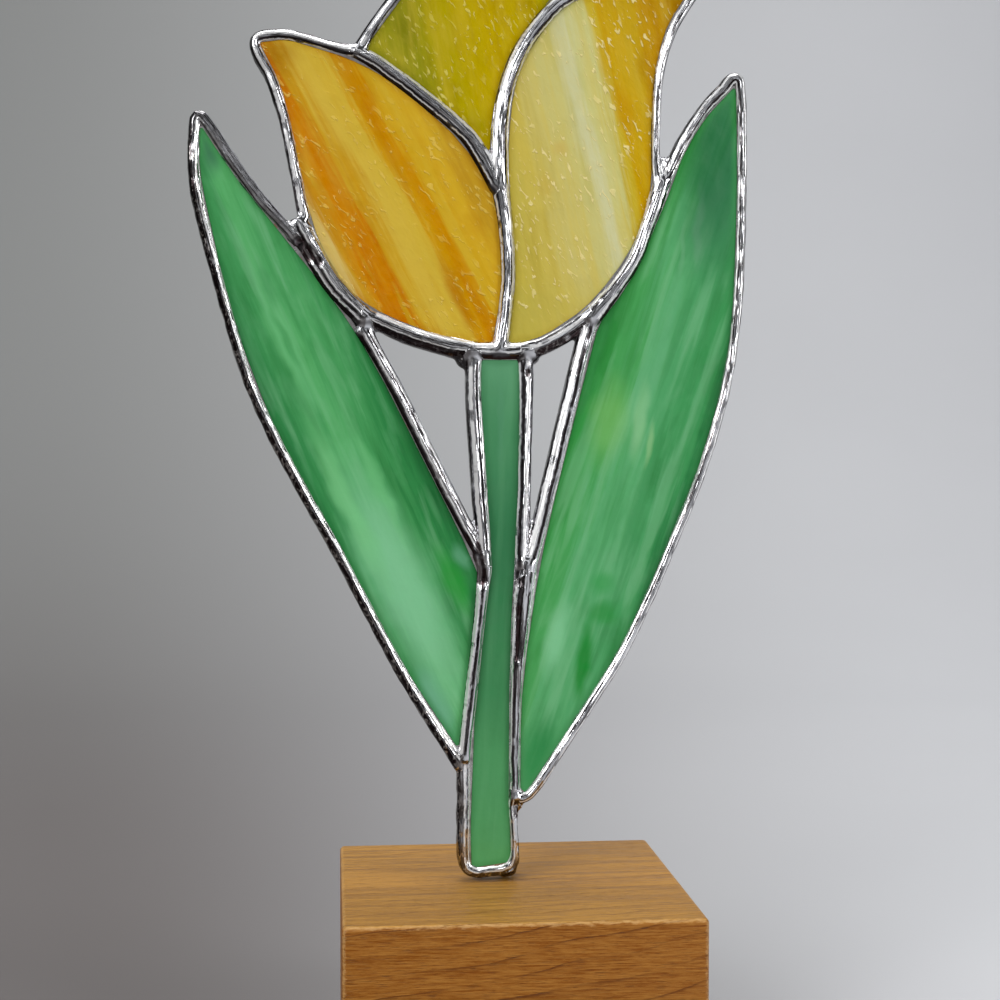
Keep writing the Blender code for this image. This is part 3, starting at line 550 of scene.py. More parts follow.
def solder_finish(name, roughness):
    """Bright tin and lead solder: lines drawn along each bead with painted shade in their creases, painted
    bands of reflection, small pits, painted glints, painted shade below that tarnish widens, and darker
    grooves.
    """
    shader = Shader(name)
    broad = shader.noise(shader.mapped(), 140.0, 3.0)
    fine = shader.noise(shader.mapped(shift=(0.3, 0.1, 0.7)), 900.0, 3.0)
    run = shader.layer("run", "Vector")
    drawn = shader.noise(shader.mapped(scale=(0.07, 1.7, 1.0), source=run), 1.0)
    middle = shader.layer("middle")
    tarnish = shader.layer("tarnish")
    colour = shader.over(linear(228, 228, 231), linear(196, 196, 200), broad, 0.38, 0.66)

    # Painted shade on the side that faces down, more of it where the bead is tarnished
    painted_underside_shade = shader.toward(shader.normal(), (-0.15, 0.0, -0.98))
    painted_underside_shade = shader.sway(shader.times_plus(tarnish, 0.3, painted_underside_shade), broad, 0.5)
    underside_shade_colour = shader.over(linear(46, 40, 41), linear(92, 80, 68), tarnish, 0.58, 0.72)
    colour = shader.over(colour, underside_shade_colour, painted_underside_shade, 0.12, 0.38, 0.9, smooth=True)

    # Thin dark lines along the bead: painted shade in its creases
    painted_crease_shade = shader.span(shader.math("ABSOLUTE", shader.minus(drawn, 0.47)), 0.025, 0.005, 0.0, 0.75)
    colour = shader.mix(shader.times(painted_crease_shade, middle), colour, linear(40, 36, 38))

    # Painted reflections: two dark and two bright bands, which wander and break off here and there
    across = shader.layer("across")
    for scale, detail, reach in ((0.16, 1.0, 0.5), (0.9, 2.0, 0.28)):
        noise = shader.noise(shader.mapped(scale=(scale, 0.0, 1.0), source=run), 1.0, detail)
        across = shader.sway(across, noise, reach)
    reach = shader.span(middle, 0.0, 0.35)
    masks = []
    for number in range(4):
        reflection_band = shader.axes(shader.layer(f"band{number}", "Vector"))
        away = shader.minus(shader.math("ABSOLUTE", shader.minus(across, reflection_band[0])), reflection_band[1])
        whole = shader.mapped(scale=(0.3, 0.0, 1.0), shift=(11.0 * number, 0, 0), source=run)
        whole = shader.span(shader.noise(whole, 1.0), 0.34, 0.44)
        mask = shader.times(shader.span(away, 0.06, -0.04, smooth=True), whole)
        masks.append(shader.times(shader.times(mask, reflection_band[2]), reach))
    painted_highlight = shader.math("MAXIMUM", masks[2], masks[3])
    colour = shader.mix(painted_highlight, colour, linear(240, 240, 240))
    dark = shader.times(shader.math("MAXIMUM", masks[0], masks[1]), 0.93)
    colour = shader.mix(dark, colour, linear(42, 32, 33))

    # Darker in the grooves, then dark pits, then pale specks on tarnished beads as painted glints
    groove_dark = shader.sway(shader.layer("groove_dark"), fine, 0.9)
    colour = shader.over(colour, linear(54, 38, 39), groove_dark, 0.3, 0.9, 0.9, smooth=True)
    colour = shader.over(colour, linear(84, 78, 76), fine, 0.68, 0.74, 0.5)
    glint_specks = shader.mapped(scale=(1.0, 1.0, 0.6), shift=(0.2, 0.5, 0.1))
    glint_specks = shader.noise(glint_specks, 1500.0, 2.0, 0.5, 0.8)
    glint_specks = shader.times(shader.span(glint_specks, 0.54, 0.62), shader.span(tarnish, 0.2, 0.5))
    colour = shader.mix(shader.times(glint_specks, 0.75), colour, linear(206, 200, 196))

    rough = shader.span(broad, 0.3, 0.7, roughness * 0.7, roughness * 1.4)
    pits = shader.bump(fine, 0.1, 0.0001)
    lines = shader.bump(drawn, shader.times(middle, 0.7), 0.0006, pits)
    shader.set(Base_Color=colour, Metallic=shader.times_plus(painted_highlight, -0.45, 1.0),
               Roughness=shader.times_plus(painted_highlight, 0.15, rough),
               Normal=shader.bump(broad, 0.08, 0.0003, lines))
    return shader


def foil_finish(name):
    """Copper foil, tinned over by the solder, with copper left in a few places on its inner line."""
    shader = Shader(name)
    blotch = shader.noise(shader.mapped(), 420.0, 3.0)
    colour = shader.over(linear(214, 212, 210), linear(150, 146, 146), blotch, 0.42, 0.62)
    colour = shader.over(colour, linear(140, 98, 74), blotch, 0.68, 0.76)
    shader.set(Base_Color=colour, Metallic=1.0, Roughness=shader.span(blotch, 0.3, 0.7, 0.22, 0.42),
               Normal=shader.bump(blotch, 0.3, 0.0002))
    return shader


def rod_finish(name):
    """Drawn steel, tinned in places, with fine lines along it."""
    shader = Shader(name)
    lines = shader.noise(shader.mapped(scale=(1, 1, 0.03)), 2600.0, 2.0)
    blotch = shader.noise(shader.mapped(), 180.0, 3.0)
    colour = shader.over(linear(168, 170, 174), linear(132, 132, 136), blotch, 0.42, 0.62)
    shader.set(Base_Color=colour, Metallic=1.0, Roughness=shader.span(lines, 0.3, 0.7, 0.22, 0.4),
               Normal=shader.bump(lines, 0.2, 0.00006))
    return shader


# How dark the wood is through one year's growth
LATE_WOOD = ((0.0, 0), (0.6, 0.06), (0.86, 0.26), (0.93, 1), (0.95, 1), (0.98, 0))


def oak_finish(name, top, front, grain):
    """Oak: slanting growth lines, dark open pores along the grain, a top paler than its sides partly by
    painted light, and pale eased edges partly painted as a highlight.
    """
    shader = Shader(name)
    place = shader.mapped(scale=(1000, 1000, 1000))

    def noise(scale, detail, roughness=0.5, **placing):
        return shader.noise(shader.mapped(scale=scale, source=place, **placing), 1.0, detail, roughness)

    # Growth lines, which lean, bend and fade in and out
    phase = shader.times(shader.toward(place, (-0.105, 0.62, 0.72)), 0.42)
    phase = shader.times_plus(noise((0.016, 0.05, 0.06), 2.0), 3.4, phase)
    phase = shader.times_plus(noise((0.09, 0.5, 0.5), 4.0, 0.7), 0.24, phase)
    late = shader.ramp(shader.math("FRACT", phase),
                       [(position, (grey, grey, grey)) for position, grey in LATE_WOOD], "LINEAR")
    uneven = shader.span(noise((0.02, 0.24, 0.24), 2.0, shift=(7, 3, 5)), 0.38, 0.62)
    late = shader.times(late, shader.times_plus(uneven, 0.95, 0.05))

    # Fibres, flecks and pores, with broader bands on top of the block
    fibre = noise((0.16, 1.7, 3.6), 5.0, 0.8)
    flecks = noise((0.4, 2.4, 4.0), 3.0, 0.6, shift=(5, 9, 2))
    pores = shader.span(noise((0.32, 2.4, 3.6), 2.0, turn=(0, -0.02, 0.01)), 0.58, 0.7)
    pores = shader.times(pores, shader.times_plus(late, 0.6, 0.4))
    upward = shader.span(shader.axes(shader.normal())[2], 0.3, 0.9, smooth=True)
    bands = noise((0.02, 0.5, 0.5), 5.0, 0.75, shift=(2, 4, 6))
    fibre = shader.sway(fibre, bands, shader.times(upward, 1.8))

    # The top is paler and less orange than the sides, and so are its grain lines: partly the cut of each
    # face, partly painted light from above with painted shade on the sides
    wood = shader.mix(upward, front, top)
    light = shader.mix(0.35, wood, linear(212, 158, 78))
    dark = shader.mix(upward, grain, between(grain, top, 0.45))
    colour = shader.over(shader.mix(0.32, wood, dark), light, fibre, 0.38, 0.62)
    colour = shader.over(colour, light, flecks, 0.58, 0.66, 0.6)
    colour = shader.over(colour, dark, flecks, 0.42, 0.34, 0.45)
    colour = shader.mix(shader.times(late, 0.8), colour, dark)
    colour = shader.mix(shader.times(pores, 0.8), colour, shader.mix(0.5, dark, (0.02, 0.01, 0.004)))

    # Pale edges, partly wear and partly a painted highlight on the arrises: near two faces at once
    axes = shader.axes(place)
    across = shader.minus(BLOCK_HIGH[0] / MM, shader.math("ABSOLUTE", axes[0]))
    deep = shader.minus(BLOCK_HIGH[1] / MM, shader.math("ABSOLUTE", axes[1]))
    down = shader.minus(BLOCK_HIGH[2] / MM, axes[2])
    near = shader.math("MAXIMUM", shader.math("MINIMUM", across, deep),
                       shader.math("MINIMUM", shader.math("MAXIMUM", across, deep), down))
    chips = noise((0.5, 1.6, 1.6), 4.0, 0.7)
    worn = shader.span(shader.times_plus(chips, 2.4, shader.minus(near, 1.2)), 0.7, 0.2)
    colour = shader.mix(shader.times(worn, 0.5), colour, linear(216, 172, 112))

    groove = shader.times_plus(pores, -1.0, shader.times(fibre, 0.35))
    shader.set(Base_Color=colour, Roughness=shader.span(fibre, 0.3, 0.7, 0.38, 0.55),
               Normal=shader.bump(groove, 0.5, 0.00022), Specular_IOR_Level=0.22)
    return shader


def between(first, second, share):
    """A fixed colour on the way from one to another."""
    return tuple(a + (b - a) * share for a, b in zip(first, second))


# One row for each pane. Degrees in which its stripes flow and its wisps streak; how far they wander and
# how strongly they look brushed; its colours, each with its place across the stripes; how strong its
# flecks of painted glint are, their colour, and how deeply it is hammered; its patches, as across, up,
# half width, half height, degrees turned, colour and share.
GLASS = {
    "left_petal": dict(
        flow=-62.0, streak=-62.0, wander=2.2, brush=2.0,
        stops=((22, 208, 194, 126), (26, 226, 198, 118), (28.4, 212, 156, 30), (30.6, 216, 138, 0),
               (33, 212, 132, 0), (35, 214, 164, 30), (38.5, 224, 190, 70), (42, 222, 186, 60),
               (44.2, 216, 158, 6), (46.4, 214, 148, 0), (48.4, 220, 174, 30), (52, 226, 182, 42),
               (60, 200, 152, 36)),
        flecks=0.6, spark=(252, 218, 104), grain=1.0,
        patches=((-45.5, 156.5, 6.0, 5.0, 0.0, (176, 120, 6), 0.8),
                 (-10.0, 112.0, 1.6, 9.0, 28.0, (188, 116, 0), 0.6))),
    "right_petal": dict(
        flow=-77.0, streak=-77.0, wander=2.4, brush=1.9,
        stops=((27, 202, 186, 78), (33, 214, 194, 90), (38, 218, 204, 118), (43, 216, 208, 130),
               (46.6, 222, 220, 168), (49.4, 218, 214, 140), (52.6, 214, 186, 48), (55.4, 214, 170, 4),
               (59, 210, 172, 28), (63.5, 204, 154, 12), (68, 184, 136, 2)),
        flecks=1.0, spark=(255, 238, 166), grain=1.1,
        patches=((8.0, 109.0, 12.0, 7.0, 0.0, (206, 190, 86), 0.6),
                 (9.4, 140.2, 2.0, 1.8, 0.0, (214, 172, 78), 0.35),
                 (7.0, 133.5, 2.0, 2.6, 0.0, (214, 180, 76), 0.35),
                 (22.0, 147.6, 1.8, 6.5, 14.0, (210, 156, 6), 0.7),
                 (18.5, 158.0, 1.5, 6.0, 14.0, (210, 162, 14), 0.5))),
    "back_petal": dict(
        flow=-80.0, streak=-80.0, wander=3.0, brush=1.0,
        stops=((8, 154, 152, 24), (16, 186, 168, 0), (25, 202, 174, 0), (33, 192, 168, 0),
               (38, 152, 150, 0)),
        flecks=0.75, spark=(242, 226, 116), grain=0.9,
        patches=((-5.0, 141.0, 6.0, 7.0, 0.0, (152, 140, 0), 0.6),)),
    "left_leaf": dict(
        flow=-67.0, streak=-67.0, wander=2.8, brush=2.2,
        stops=((-11, 42, 112, 68), (-6, 58, 144, 80), (-1, 74, 162, 94), (3.5, 98, 186, 114),
               (8, 82, 170, 100), (13, 56, 144, 78), (19, 38, 112, 60)),
        grain=0.0,
        patches=((-20.0, 56.0, 6.5, 28.0, 25.0, (146, 218, 168), 0.75),
                 (-14.5, 34.0, 3.0, 9.0, 27.0, (130, 198, 164), 0.6),
                 (-31.0, 73.0, 2.4, 19.0, 25.0, (136, 220, 148), 0.6),
                 (-42.0, 101.0, 2.0, 15.0, 23.0, (120, 204, 136), 0.6),
                 (-25.0, 76.0, 1.2, 12.0, 25.0, (124, 210, 138), 0.5),
                 (-10.6, 57.5, 2.2, 8.5, 27.0, (44, 160, 58), 0.8),
                 (-9.5, 62.5, 1.6, 3.0, 26.0, (120, 190, 150), 0.5),
                 (-46.5, 114.5, 1.3, 6.0, 24.0, (56, 146, 78), 0.5),
                 (-42.6, 103.7, 0.9, 8.0, 24.0, (58, 150, 78), 0.5),
                 (-57.0, 140.0, 3.0, 6.0, 10.0, (62, 116, 86), 0.8))),
    "right_leaf": dict(
        flow=72.0, streak=72.0, wander=3.4, brush=2.4,
        stops=((-12, 50, 134, 74), (-6, 70, 160, 92), (0, 88, 174, 110), (5, 98, 182, 118),
               (9, 80, 172, 94), (13, 62, 160, 76), (19, 60, 146, 76)),
        grain=0.0,
        patches=((14.4, 42.0, 1.7, 9.5, -10.0, (14, 140, 40), 0.85),
                 (18.0, 51.5, 3.5, 2.6, 0.0, (30, 148, 50), 0.6),
                 (17.9, 57.0, 3.0, 2.4, 0.0, (54, 164, 78), 0.6),
                 # This pale patch is a painted highlight
                 (19.0, 88.5, 4.2, 9.0, -12.0, (140, 206, 112), 0.5),
                 (25.0, 89.0, 1.6, 8.0, -10.0, (176, 230, 168), 0.55),
                 (27.0, 84.0, 0.8, 4.5, -10.0, (180, 226, 160), 0.4),
                 (36.9, 126.0, 1.1, 9.0, -3.0, (122, 186, 140), 0.7),
                 (33.5, 121.0, 0.7, 6.0, -6.0, (130, 196, 146), 0.4),
                 (40.5, 138.0, 8.0, 24.0, -6.0, (40, 106, 70), 0.75),
                 (8.8, 47.0, 2.4, 8.0, -12.0, (146, 220, 166), 0.7),
                 (5.0, 24.0, 4.0, 9.0, -14.0, (40, 142, 72), 0.75),
                 (28.0, 100.0, 2.4, 22.0, -16.0, (116, 192, 138), 0.45))),
    "stem": dict(
        flow=-3.0, streak=86.0, wander=0.6, brush=0.0,
        stops=((0, 94, 172, 108), (20, 84, 162, 102), (40, 66, 142, 88), (66, 60, 130, 84),
               (84, 78, 148, 100), (104, 108, 174, 128)),
        grain=0.0, patches=((-2.0, 88.0, 0.8, 9.0, 0.0, (100, 160, 124), 0.3),)),
}

# What pale clouds in the petals and in the green panes lean towards, and how far patches bend, in mm
PALE_PETAL = (0.76, 0.56, 0.06)
PALE_LEAF = (0.30, 0.68, 0.37)
PATCH_BEND = 3.2


def glass_finish(pane, row, lift):
    """Streaky opalescent glass: drawn-out colours, clouds, pale flecks painted as glints, painted shade
    along the edges and a rolled surface.
    """
    shader = Shader(pane + "_glass")
    place = shader.mapped(scale=(1000, 1000, 1000), shift=(0, 0, -lift / MM))
    flow = shader.mapped(turn=(0, math.radians(row["flow"]), 0), source=place)
    streak = shader.mapped(turn=(0, math.radians(row["streak"]), 0), source=place)

    # Stripes of colour along the flow, bent by a broad and a brushed noise
    broad = shader.noise(shader.mapped(scale=(0.16, 0.5, 1.0), source=flow), 0.13)
    brush = shader.noise(shader.mapped(scale=(0.05, 0.4, 1.0), source=flow), 0.8, 4.0, 0.62)
    across = shader.times_plus(broad, row["wander"] * 4, shader.axes(flow)[2])
    across = shader.times_plus(brush, row["brush"] * 4, across)
    across = shader.minus(across, row["wander"] * 2 + row["brush"] * 2)
    low, high = row["stops"][0][0], row["stops"][-1][0]
    stops = [((stop[0] - low) / (high - low), linear(*stop[1:])) for stop in row["stops"]]
    colour = shader.ramp(shader.span(across, low, high), stops)

    # Pale and deep clouds, then finer wisps
    pale = shader.mix(0.5, colour, PALE_PETAL if "petal" in pane else PALE_LEAF)
    deep = shader.mix(0.45, colour, shader.mix(1.0, colour, colour, "MULTIPLY"))
    calm = 0.25 if pane == "stem" else 1.0
    cloud = shader.mapped(scale=(0.35, 0.5, 1.0), shift=(30, 0, 10), source=streak)
    cloud = shader.noise(cloud, 0.16, 4.0, 0.55)
    colour = shader.over(colour, pale, cloud, 0.54, 0.72, 0.5 * calm)
    colour = shader.over(colour, deep, cloud, 0.46, 0.3, 0.8 * calm)
    wisp = shader.mapped(scale=(0.09, 0.4, 1.0), shift=(9, 0, 4), source=streak)
    wisp = shader.noise(wisp, 0.34, 3.0, 0.5, 0.4)
    colour = shader.over(colour, pale, wisp, 0.52, 0.66, 0.6 * calm)
    colour = shader.over(colour, deep, wisp, 0.48, 0.36, 0.5 * calm)

    # Single patches with soft, slightly bent outlines
    stray = shader.add("ShaderNodeTexNoise", (("Vector", place), ("Scale", 0.14), ("Detail", 1.5)))
    bent = shader.add("ShaderNodeVectorMath",
                      ((0, stray.outputs["Color"]), (1, (PATCH_BEND, 0.0, PATCH_BEND)), (2, place)),
                      operation="MULTIPLY_ADD").outputs["Vector"]
    bent = shader.mapped(shift=(-PATCH_BEND / 2, 0, -PATCH_BEND / 2), source=bent)
    for x, z, wide, tall, turn, tint, share in row["patches"]:
        spot = shader.mapped(shift=(-x, 0, -z), source=bent)
        spot = shader.mapped(turn=(0, math.radians(turn), 0), source=spot)
        spot = shader.mapped(scale=(1 / wide, 0.0, 1 / tall), source=spot)
        reach = shader.add("ShaderNodeVectorMath", ((0, spot),), operation="LENGTH").outputs["Value"]
        colour = shader.over(colour, linear(*tint), reach, 1.25, 0.25, share, smooth=True)
    # Painted shade along the glass's edges, darker towards the solder
    colour = shader.over(colour, deep, shader.layer("edge"), 0.42, 0.0, 0.75, smooth=True)

    # The rolled surface; hammered panes also get flecks, raised and painted pale as glints, which come in
    # crowds
    height = shader.times(shader.noise(shader.mapped(source=place), 0.33), 0.35)
    if row["grain"]:
        tilted = shader.mapped(turn=(0, math.radians(row["flow"] + 18), 0), source=place)
        tilted = shader.mapped(scale=(0.5, 0.8, 1.15), source=tilted)
        hammer = shader.noise(tilted, 1.05, 2.0, 0.45, 0.6)
        crowd = shader.span(shader.noise(shader.mapped(shift=(3, 0, 8), source=place), 0.13), 0.4, 0.6)
        glint_fleck = shader.times(shader.span(hammer, 0.595, 0.67, smooth=True), crowd)
        height = shader.times_plus(glint_fleck, row["grain"] * 0.5, height)
        height = shader.times_plus(hammer, row["grain"] * 0.2, height)
        colour = shader.over(colour, pale, hammer, 0.4, 0.6, 0.14)
        colour = shader.mix(shader.times(glint_fleck, row["flecks"] * 0.85), colour, linear(*row["spark"]))
    shader.set(Base_Color=colour, Roughness=0.09, IOR=1.5, Normal=shader.bump(height, 0.6, 0.0005),
               Transmission_Weight=0.18, Specular_IOR_Level=0.12)
    return shader


# The room's light as rings round one direction: degrees from it and how bright
RING_MIDDLE = (-0.12, -0.97, 0.2)
ROOM_GLOW = ((0, 0.28), (9, 0.34), (13, 0.05), (20, 0.05), (24, 0.9), (31, 0.9), (35, 0.06), (47, 0.05),
             (52, 0.8), (66, 0.55), (72, 0.04), (92, 0.05), (104, 0.2), (180, 0.25))

# The plain grey that stands behind the object in views from other sides, and the light's faint tint
PLAIN_ROOM = 0.4
ROOM_TINT = (0.97, 0.98, 1.0, 1.0)

# The backdrop: a floor, a wall behind it and the bend between them, in metres
FLOOR_SIZE = 6.0
FLOOR_MIDDLE = (0.0, -1.6, 0.0)
WALL_HEIGHT = 3.0
BEND = 0.9

# Lamps: name, place, width and height, watts, and what they point at
LAMPS = (
    ("left_softbox", (-0.7, -0.8, 0.62), (0.55, 0.55), 7.6, (0.0, 0.0, 0.12)),
    ("right_softbox", (0.85, -0.65, 0.35), (0.2, 0.7), 3.8, (0.0, 0.0, 0.12)),
    ("overhead_softbox", (0.0, 0.05, 0.95), (0.6, 0.4), 5.0, (0.0, 0.0, 0.1)),
    ("backdrop_lamp", (0.0, 0.55, 1.1), (1.0, 0.4), 6.8, (0.1, 1.4, 0.4)),
)

# The camera: place in metres, lens and sensor in millimetres, tilt below level and turn to the right
CAMERA_PLACE = (-0.03409, -0.34432, 0.12376)
CAMERA_LENS = 64.8
CAMERA_SENSOR = 36.0
CAMERA_TILT = 1.72
CAMERA_TURN = 5.35

# Settings


class TulipBlock(bpy.types.PropertyGroup):
    """The oak block's sizes and colours."""

    arris: bpy.props.FloatProperty(name="Arris", description="How far the block's edges are eased",
                                   default=0.9 * MM, min=0.0, unit="LENGTH", precision=4)
    hole: bpy.props.FloatProperty(name="Hole", description="Diameter of the rod's hole",
                                  default=2.6 * MM, min=0.0, unit="LENGTH", precision=4)
    top: bpy.props.FloatVectorProperty(name="Top", description="Oak on the block's top",
                                       default=linear(166, 118, 46), subtype="COLOR", min=0.0, max=1.0)
    front: bpy.props.FloatVectorProperty(name="Sides", description="Oak on the block's sides",
                                         default=linear(142, 78, 2), subtype="COLOR", min=0.0, max=1.0)
    grain: bpy.props.FloatVectorProperty(name="Grain", description="Dark growth lines and pores",
                                         default=linear(88, 40, 4), subtype="COLOR", min=0.0, max=1.0)


class TulipGlass(bpy.types.PropertyGroup):
    """The panes' surface."""

    voxel: bpy.props.FloatProperty(name="Skin", description="Mesh size of the panes' skin",
                                   default=0.5 * MM, min=0.2 * MM, unit="LENGTH", precision=5)
    wave: bpy.props.FloatProperty(name="Wave", description="Height of the rolled waves",
                                  default=0.35 * MM, min=0.0, unit="LENGTH", precision=5)
    pitch: bpy.props.FloatProperty(name="Pitch", description="Size of the rolled waves",
                                   default=6.0 * MM, min=0.1 * MM, unit="LENGTH", precision=4)


class TulipSolder(bpy.types.PropertyGroup):
    """The solder's surface."""

    voxel: bpy.props.FloatProperty(name="Skin", description="Mesh size of the solder's skin",
                                   default=0.25 * MM, min=0.15 * MM, unit="LENGTH", precision=5)
    lump: bpy.props.FloatProperty(name="Lumps", description="Height of the solder's lumps",
                                  default=0.5 * MM, min=0.0, unit="LENGTH", precision=5)
    dimple: bpy.props.FloatProperty(name="Dimples", description="Height of the solder's small dimples",
                                    default=0.12 * MM, min=0.0, unit="LENGTH", precision=5)
    lift: bpy.props.FloatProperty(name="Lift", description="Where the flower's drawing stands above zero",
                                  default=BLOCK_HIGH[2] + 0.1 * MM, unit="LENGTH", precision=4)


class TulipStage(bpy.types.PropertyGroup):
    """The floor, backdrop and light."""

    dim: bpy.props.FloatVectorProperty(name="Backdrop, left", description="The backdrop's darker side",
                                       default=linear(133, 134, 133), subtype="COLOR", min=0.0, max=1.0)
    pale: bpy.props.FloatVectorProperty(name="Backdrop, right", description="The backdrop's paler side",
                                        default=linear(194, 195, 198), subtype="COLOR", min=0.0, max=1.0)
    level: bpy.props.FloatProperty(name="Light", default=1.0, min=0.0,
                                   description="All lamps together, where 1 is the plain level")


# Operators


def select_edges(piece, wanted):
    """Selects just the edges that have both ends in a wanted place."""
    with editing("DESELECT"):
        pass
    for edge in piece.data.edges:
        edge.select = all(wanted(piece.data.vertices[end].co) for end in edge.vertices)


def backdrop_finish(name, dim, pale):
    """Plain paper with painted light: dim at its left and pale at its right, seen from the front, the more
    so the nearer the front.
    """
    paper = Shader(name)
    axes = paper.axes(paper.place)
    depth = paper.math("MAXIMUM", paper.math("ADD", axes[1], 0.35), 0.3)
    fade = paper.span(paper.math("DIVIDE", axes[0], depth), -0.22, 0.36, smooth=True)
    near = paper.span(axes[1], 1.2, 0.1, smooth=True)
    mottle = paper.noise(paper.mapped(), 3.0, 3.0)
    colour = paper.mix(fade, paper.mix(near, dim, linear(108, 104, 103)),
                       paper.mix(near, pale, linear(203, 204, 207)))
    colour = paper.over(colour, (0.25, 0.25, 0.26), mottle, 0.35, 0.65, 0.06)
    paper.set(Base_Color=colour, Roughness=0.9, Specular_IOR_Level=0.1)
    return paper


def light_room(world):
    """Rings of light, brighter above and at the left; straight views see a plain grey in their place."""
    room = Shader(world.name, world)
    turn = room.math("ARCCOSINE", room.toward(room.place, RING_MIDDLE))
    turn = room.sway(turn, room.noise(room.place, 2.2), 0.25)
    rings = room.ramp(room.math("DIVIDE", turn, math.pi),
                      [(angle / 180, (glow, glow, glow)) for angle, glow in ROOM_GLOW], "LINEAR")
    axes = room.axes(room.place)
    share = room.times(room.span(axes[2], -0.5, 0.7, 0.35, 1.2), room.span(axes[0], -0.8, 0.8, 1.2, 0.7))
    seen = room.add("ShaderNodeLightPath").outputs
    seen = room.math("MAXIMUM", seen["Is Camera Ray"], seen["Is Transmission Ray"])
    light = room.times(room.times(rings, share), room.minus(1.0, seen))
    room.set(Color=ROOM_TINT, Strength=room.math("ADD", light, room.times(seen, PLAIN_ROOM)))


class TULIP_OT_stage(bpy.types.Operator):
    """Lay a pale curved backdrop, hang soft lamps and set the camera"""

    bl_idname = "tulip.stage"
    bl_label = "Stage"

    def execute(self, context):
        settings = context.scene.tulip_stage
        bpy.ops.mesh.primitive_plane_add(size=FLOOR_SIZE, location=FLOOR_MIDDLE)
        sweep = settle(context.object)
        sweep.name = "backdrop"
        select_edges(sweep, lambda place: place.y > 1.0)
        bpy.ops.object.mode_set(mode="EDIT")
        bpy.ops.mesh.select_mode(type="EDGE")
        bpy.ops.mesh.extrude_region_move(TRANSFORM_OT_translate={"value": (0.0, 0.0, WALL_HEIGHT)})
        bpy.ops.object.mode_set(mode="OBJECT")
        select_edges(sweep, lambda place: place.y > 1.0 and place.z < 0.1)
        bpy.ops.object.mode_set(mode="EDIT")
        bpy.ops.mesh.bevel(offset=BEND, segments=24, profile=0.5)
        bpy.ops.mesh.select_all(action="SELECT")
        bpy.ops.mesh.normals_make_consistent(inside=False)
        bpy.ops.mesh.faces_shade_smooth()
        bpy.ops.object.mode_set(mode="OBJECT")
        dress(sweep, backdrop_finish("backdrop_paper", tuple(settings.dim), tuple(settings.pale)))

        for name, place, size, power, aim in LAMPS:
            lamp = bpy.data.lights.new(name, "AREA")
            lamp.shape = "RECTANGLE"
            lamp.size, lamp.size_y = size
            lamp.energy = power * settings.level
            holder = bpy.data.objects.new(name, lamp)
            context.scene.collection.objects.link(holder)
            holder.location = place
            holder.rotation_euler = (Vector(aim) - Vector(place)).to_track_quat("-Z", "Y").to_euler()

        context.scene.world = bpy.data.worlds.new("studio")
        light_room(context.scene.world)

        view = bpy.data.cameras.new("camera")
        view.lens = CAMERA_LENS
        view.sensor_width = CAMERA_SENSOR
        camera = bpy.data.objects.new("camera", view)
        context.scene.collection.objects.link(camera)
        camera.location = CAMERA_PLACE
        camera.rotation_euler = (math.radians(90 - CAMERA_TILT), 0.0, -math.radians(CAMERA_TURN))
        context.scene.camera = camera
        context.scene.view_settings.view_transform = "Standard"
        return {"FINISHED"}


class TULIP_OT_block(bpy.types.Operator):
    """Saw the oak block, ease its edges and drill the rod's hole"""

    bl_idname = "tulip.block"
    bl_label = "Block"

    def execute(self, context):
        settings = context.scene.tulip_block
        low, high = Vector(BLOCK_LOW), Vector(BLOCK_HIGH)
        bpy.ops.mesh.primitive_cube_add(size=1.0, location=(low + high) / 2, scale=high - low)
        block = settle(context.object)
        block.name = "oak_block_eased"
        with editing():
            bpy.ops.mesh.bevel(offset=settings.arris, segments=5, profile=0.5)
        rod_middle = (Vector(ROD_LOW) + Vector(ROD_HIGH)) / 2
        depth = high.z - ROD_LOW[2] + HOLE_ROOM
        bpy.ops.mesh.primitive_cylinder_add(vertices=48, radius=settings.hole / 2, depth=2 * depth,
                                            location=(rod_middle.x, rod_middle.y, high.z))
        drill = settle(context.object)
        cut = block.modifiers.new("hole", "BOOLEAN")
        cut.operation = "DIFFERENCE"
        cut.object = drill
        cut.solver = "EXACT"
        active(block)
        bpy.ops.object.modifier_apply(modifier="hole")
        bpy.data.objects.remove(drill)
        bpy.ops.object.shade_smooth_by_angle(angle=math.radians(40))
        dress(block, oak_finish("oak", tuple(settings.top), tuple(settings.front), tuple(settings.grain)))
        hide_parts("oak_block")
        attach(block, "block")
        return {"FINISHED"}


def copied(node, name):
    """A copy of a CAD node's mesh as a new object, with its doubles merged."""
    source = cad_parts[node]
    piece = bpy.data.objects.new(name, source.data.copy())
    bpy.context.scene.collection.objects.link(piece)
    piece.matrix_world = source.matrix_world.copy()
    settle(piece).data.materials.clear()
    with editing():
        bpy.ops.mesh.remove_doubles(threshold=1e-6)
        bpy.ops.mesh.normals_make_consistent(inside=False)
    return piece


def write_layer(mesh, name, values):
    """Gives each of a mesh's points a number or a vector, for its material."""
    values = np.array(values, dtype=np.float32)
    kind, key = ("FLOAT", "value") if values.ndim == 1 else ("FLOAT_VECTOR", "vector")
    mesh.attributes.new(name, kind, "POINT").data.foreach_set(key, values.ravel())


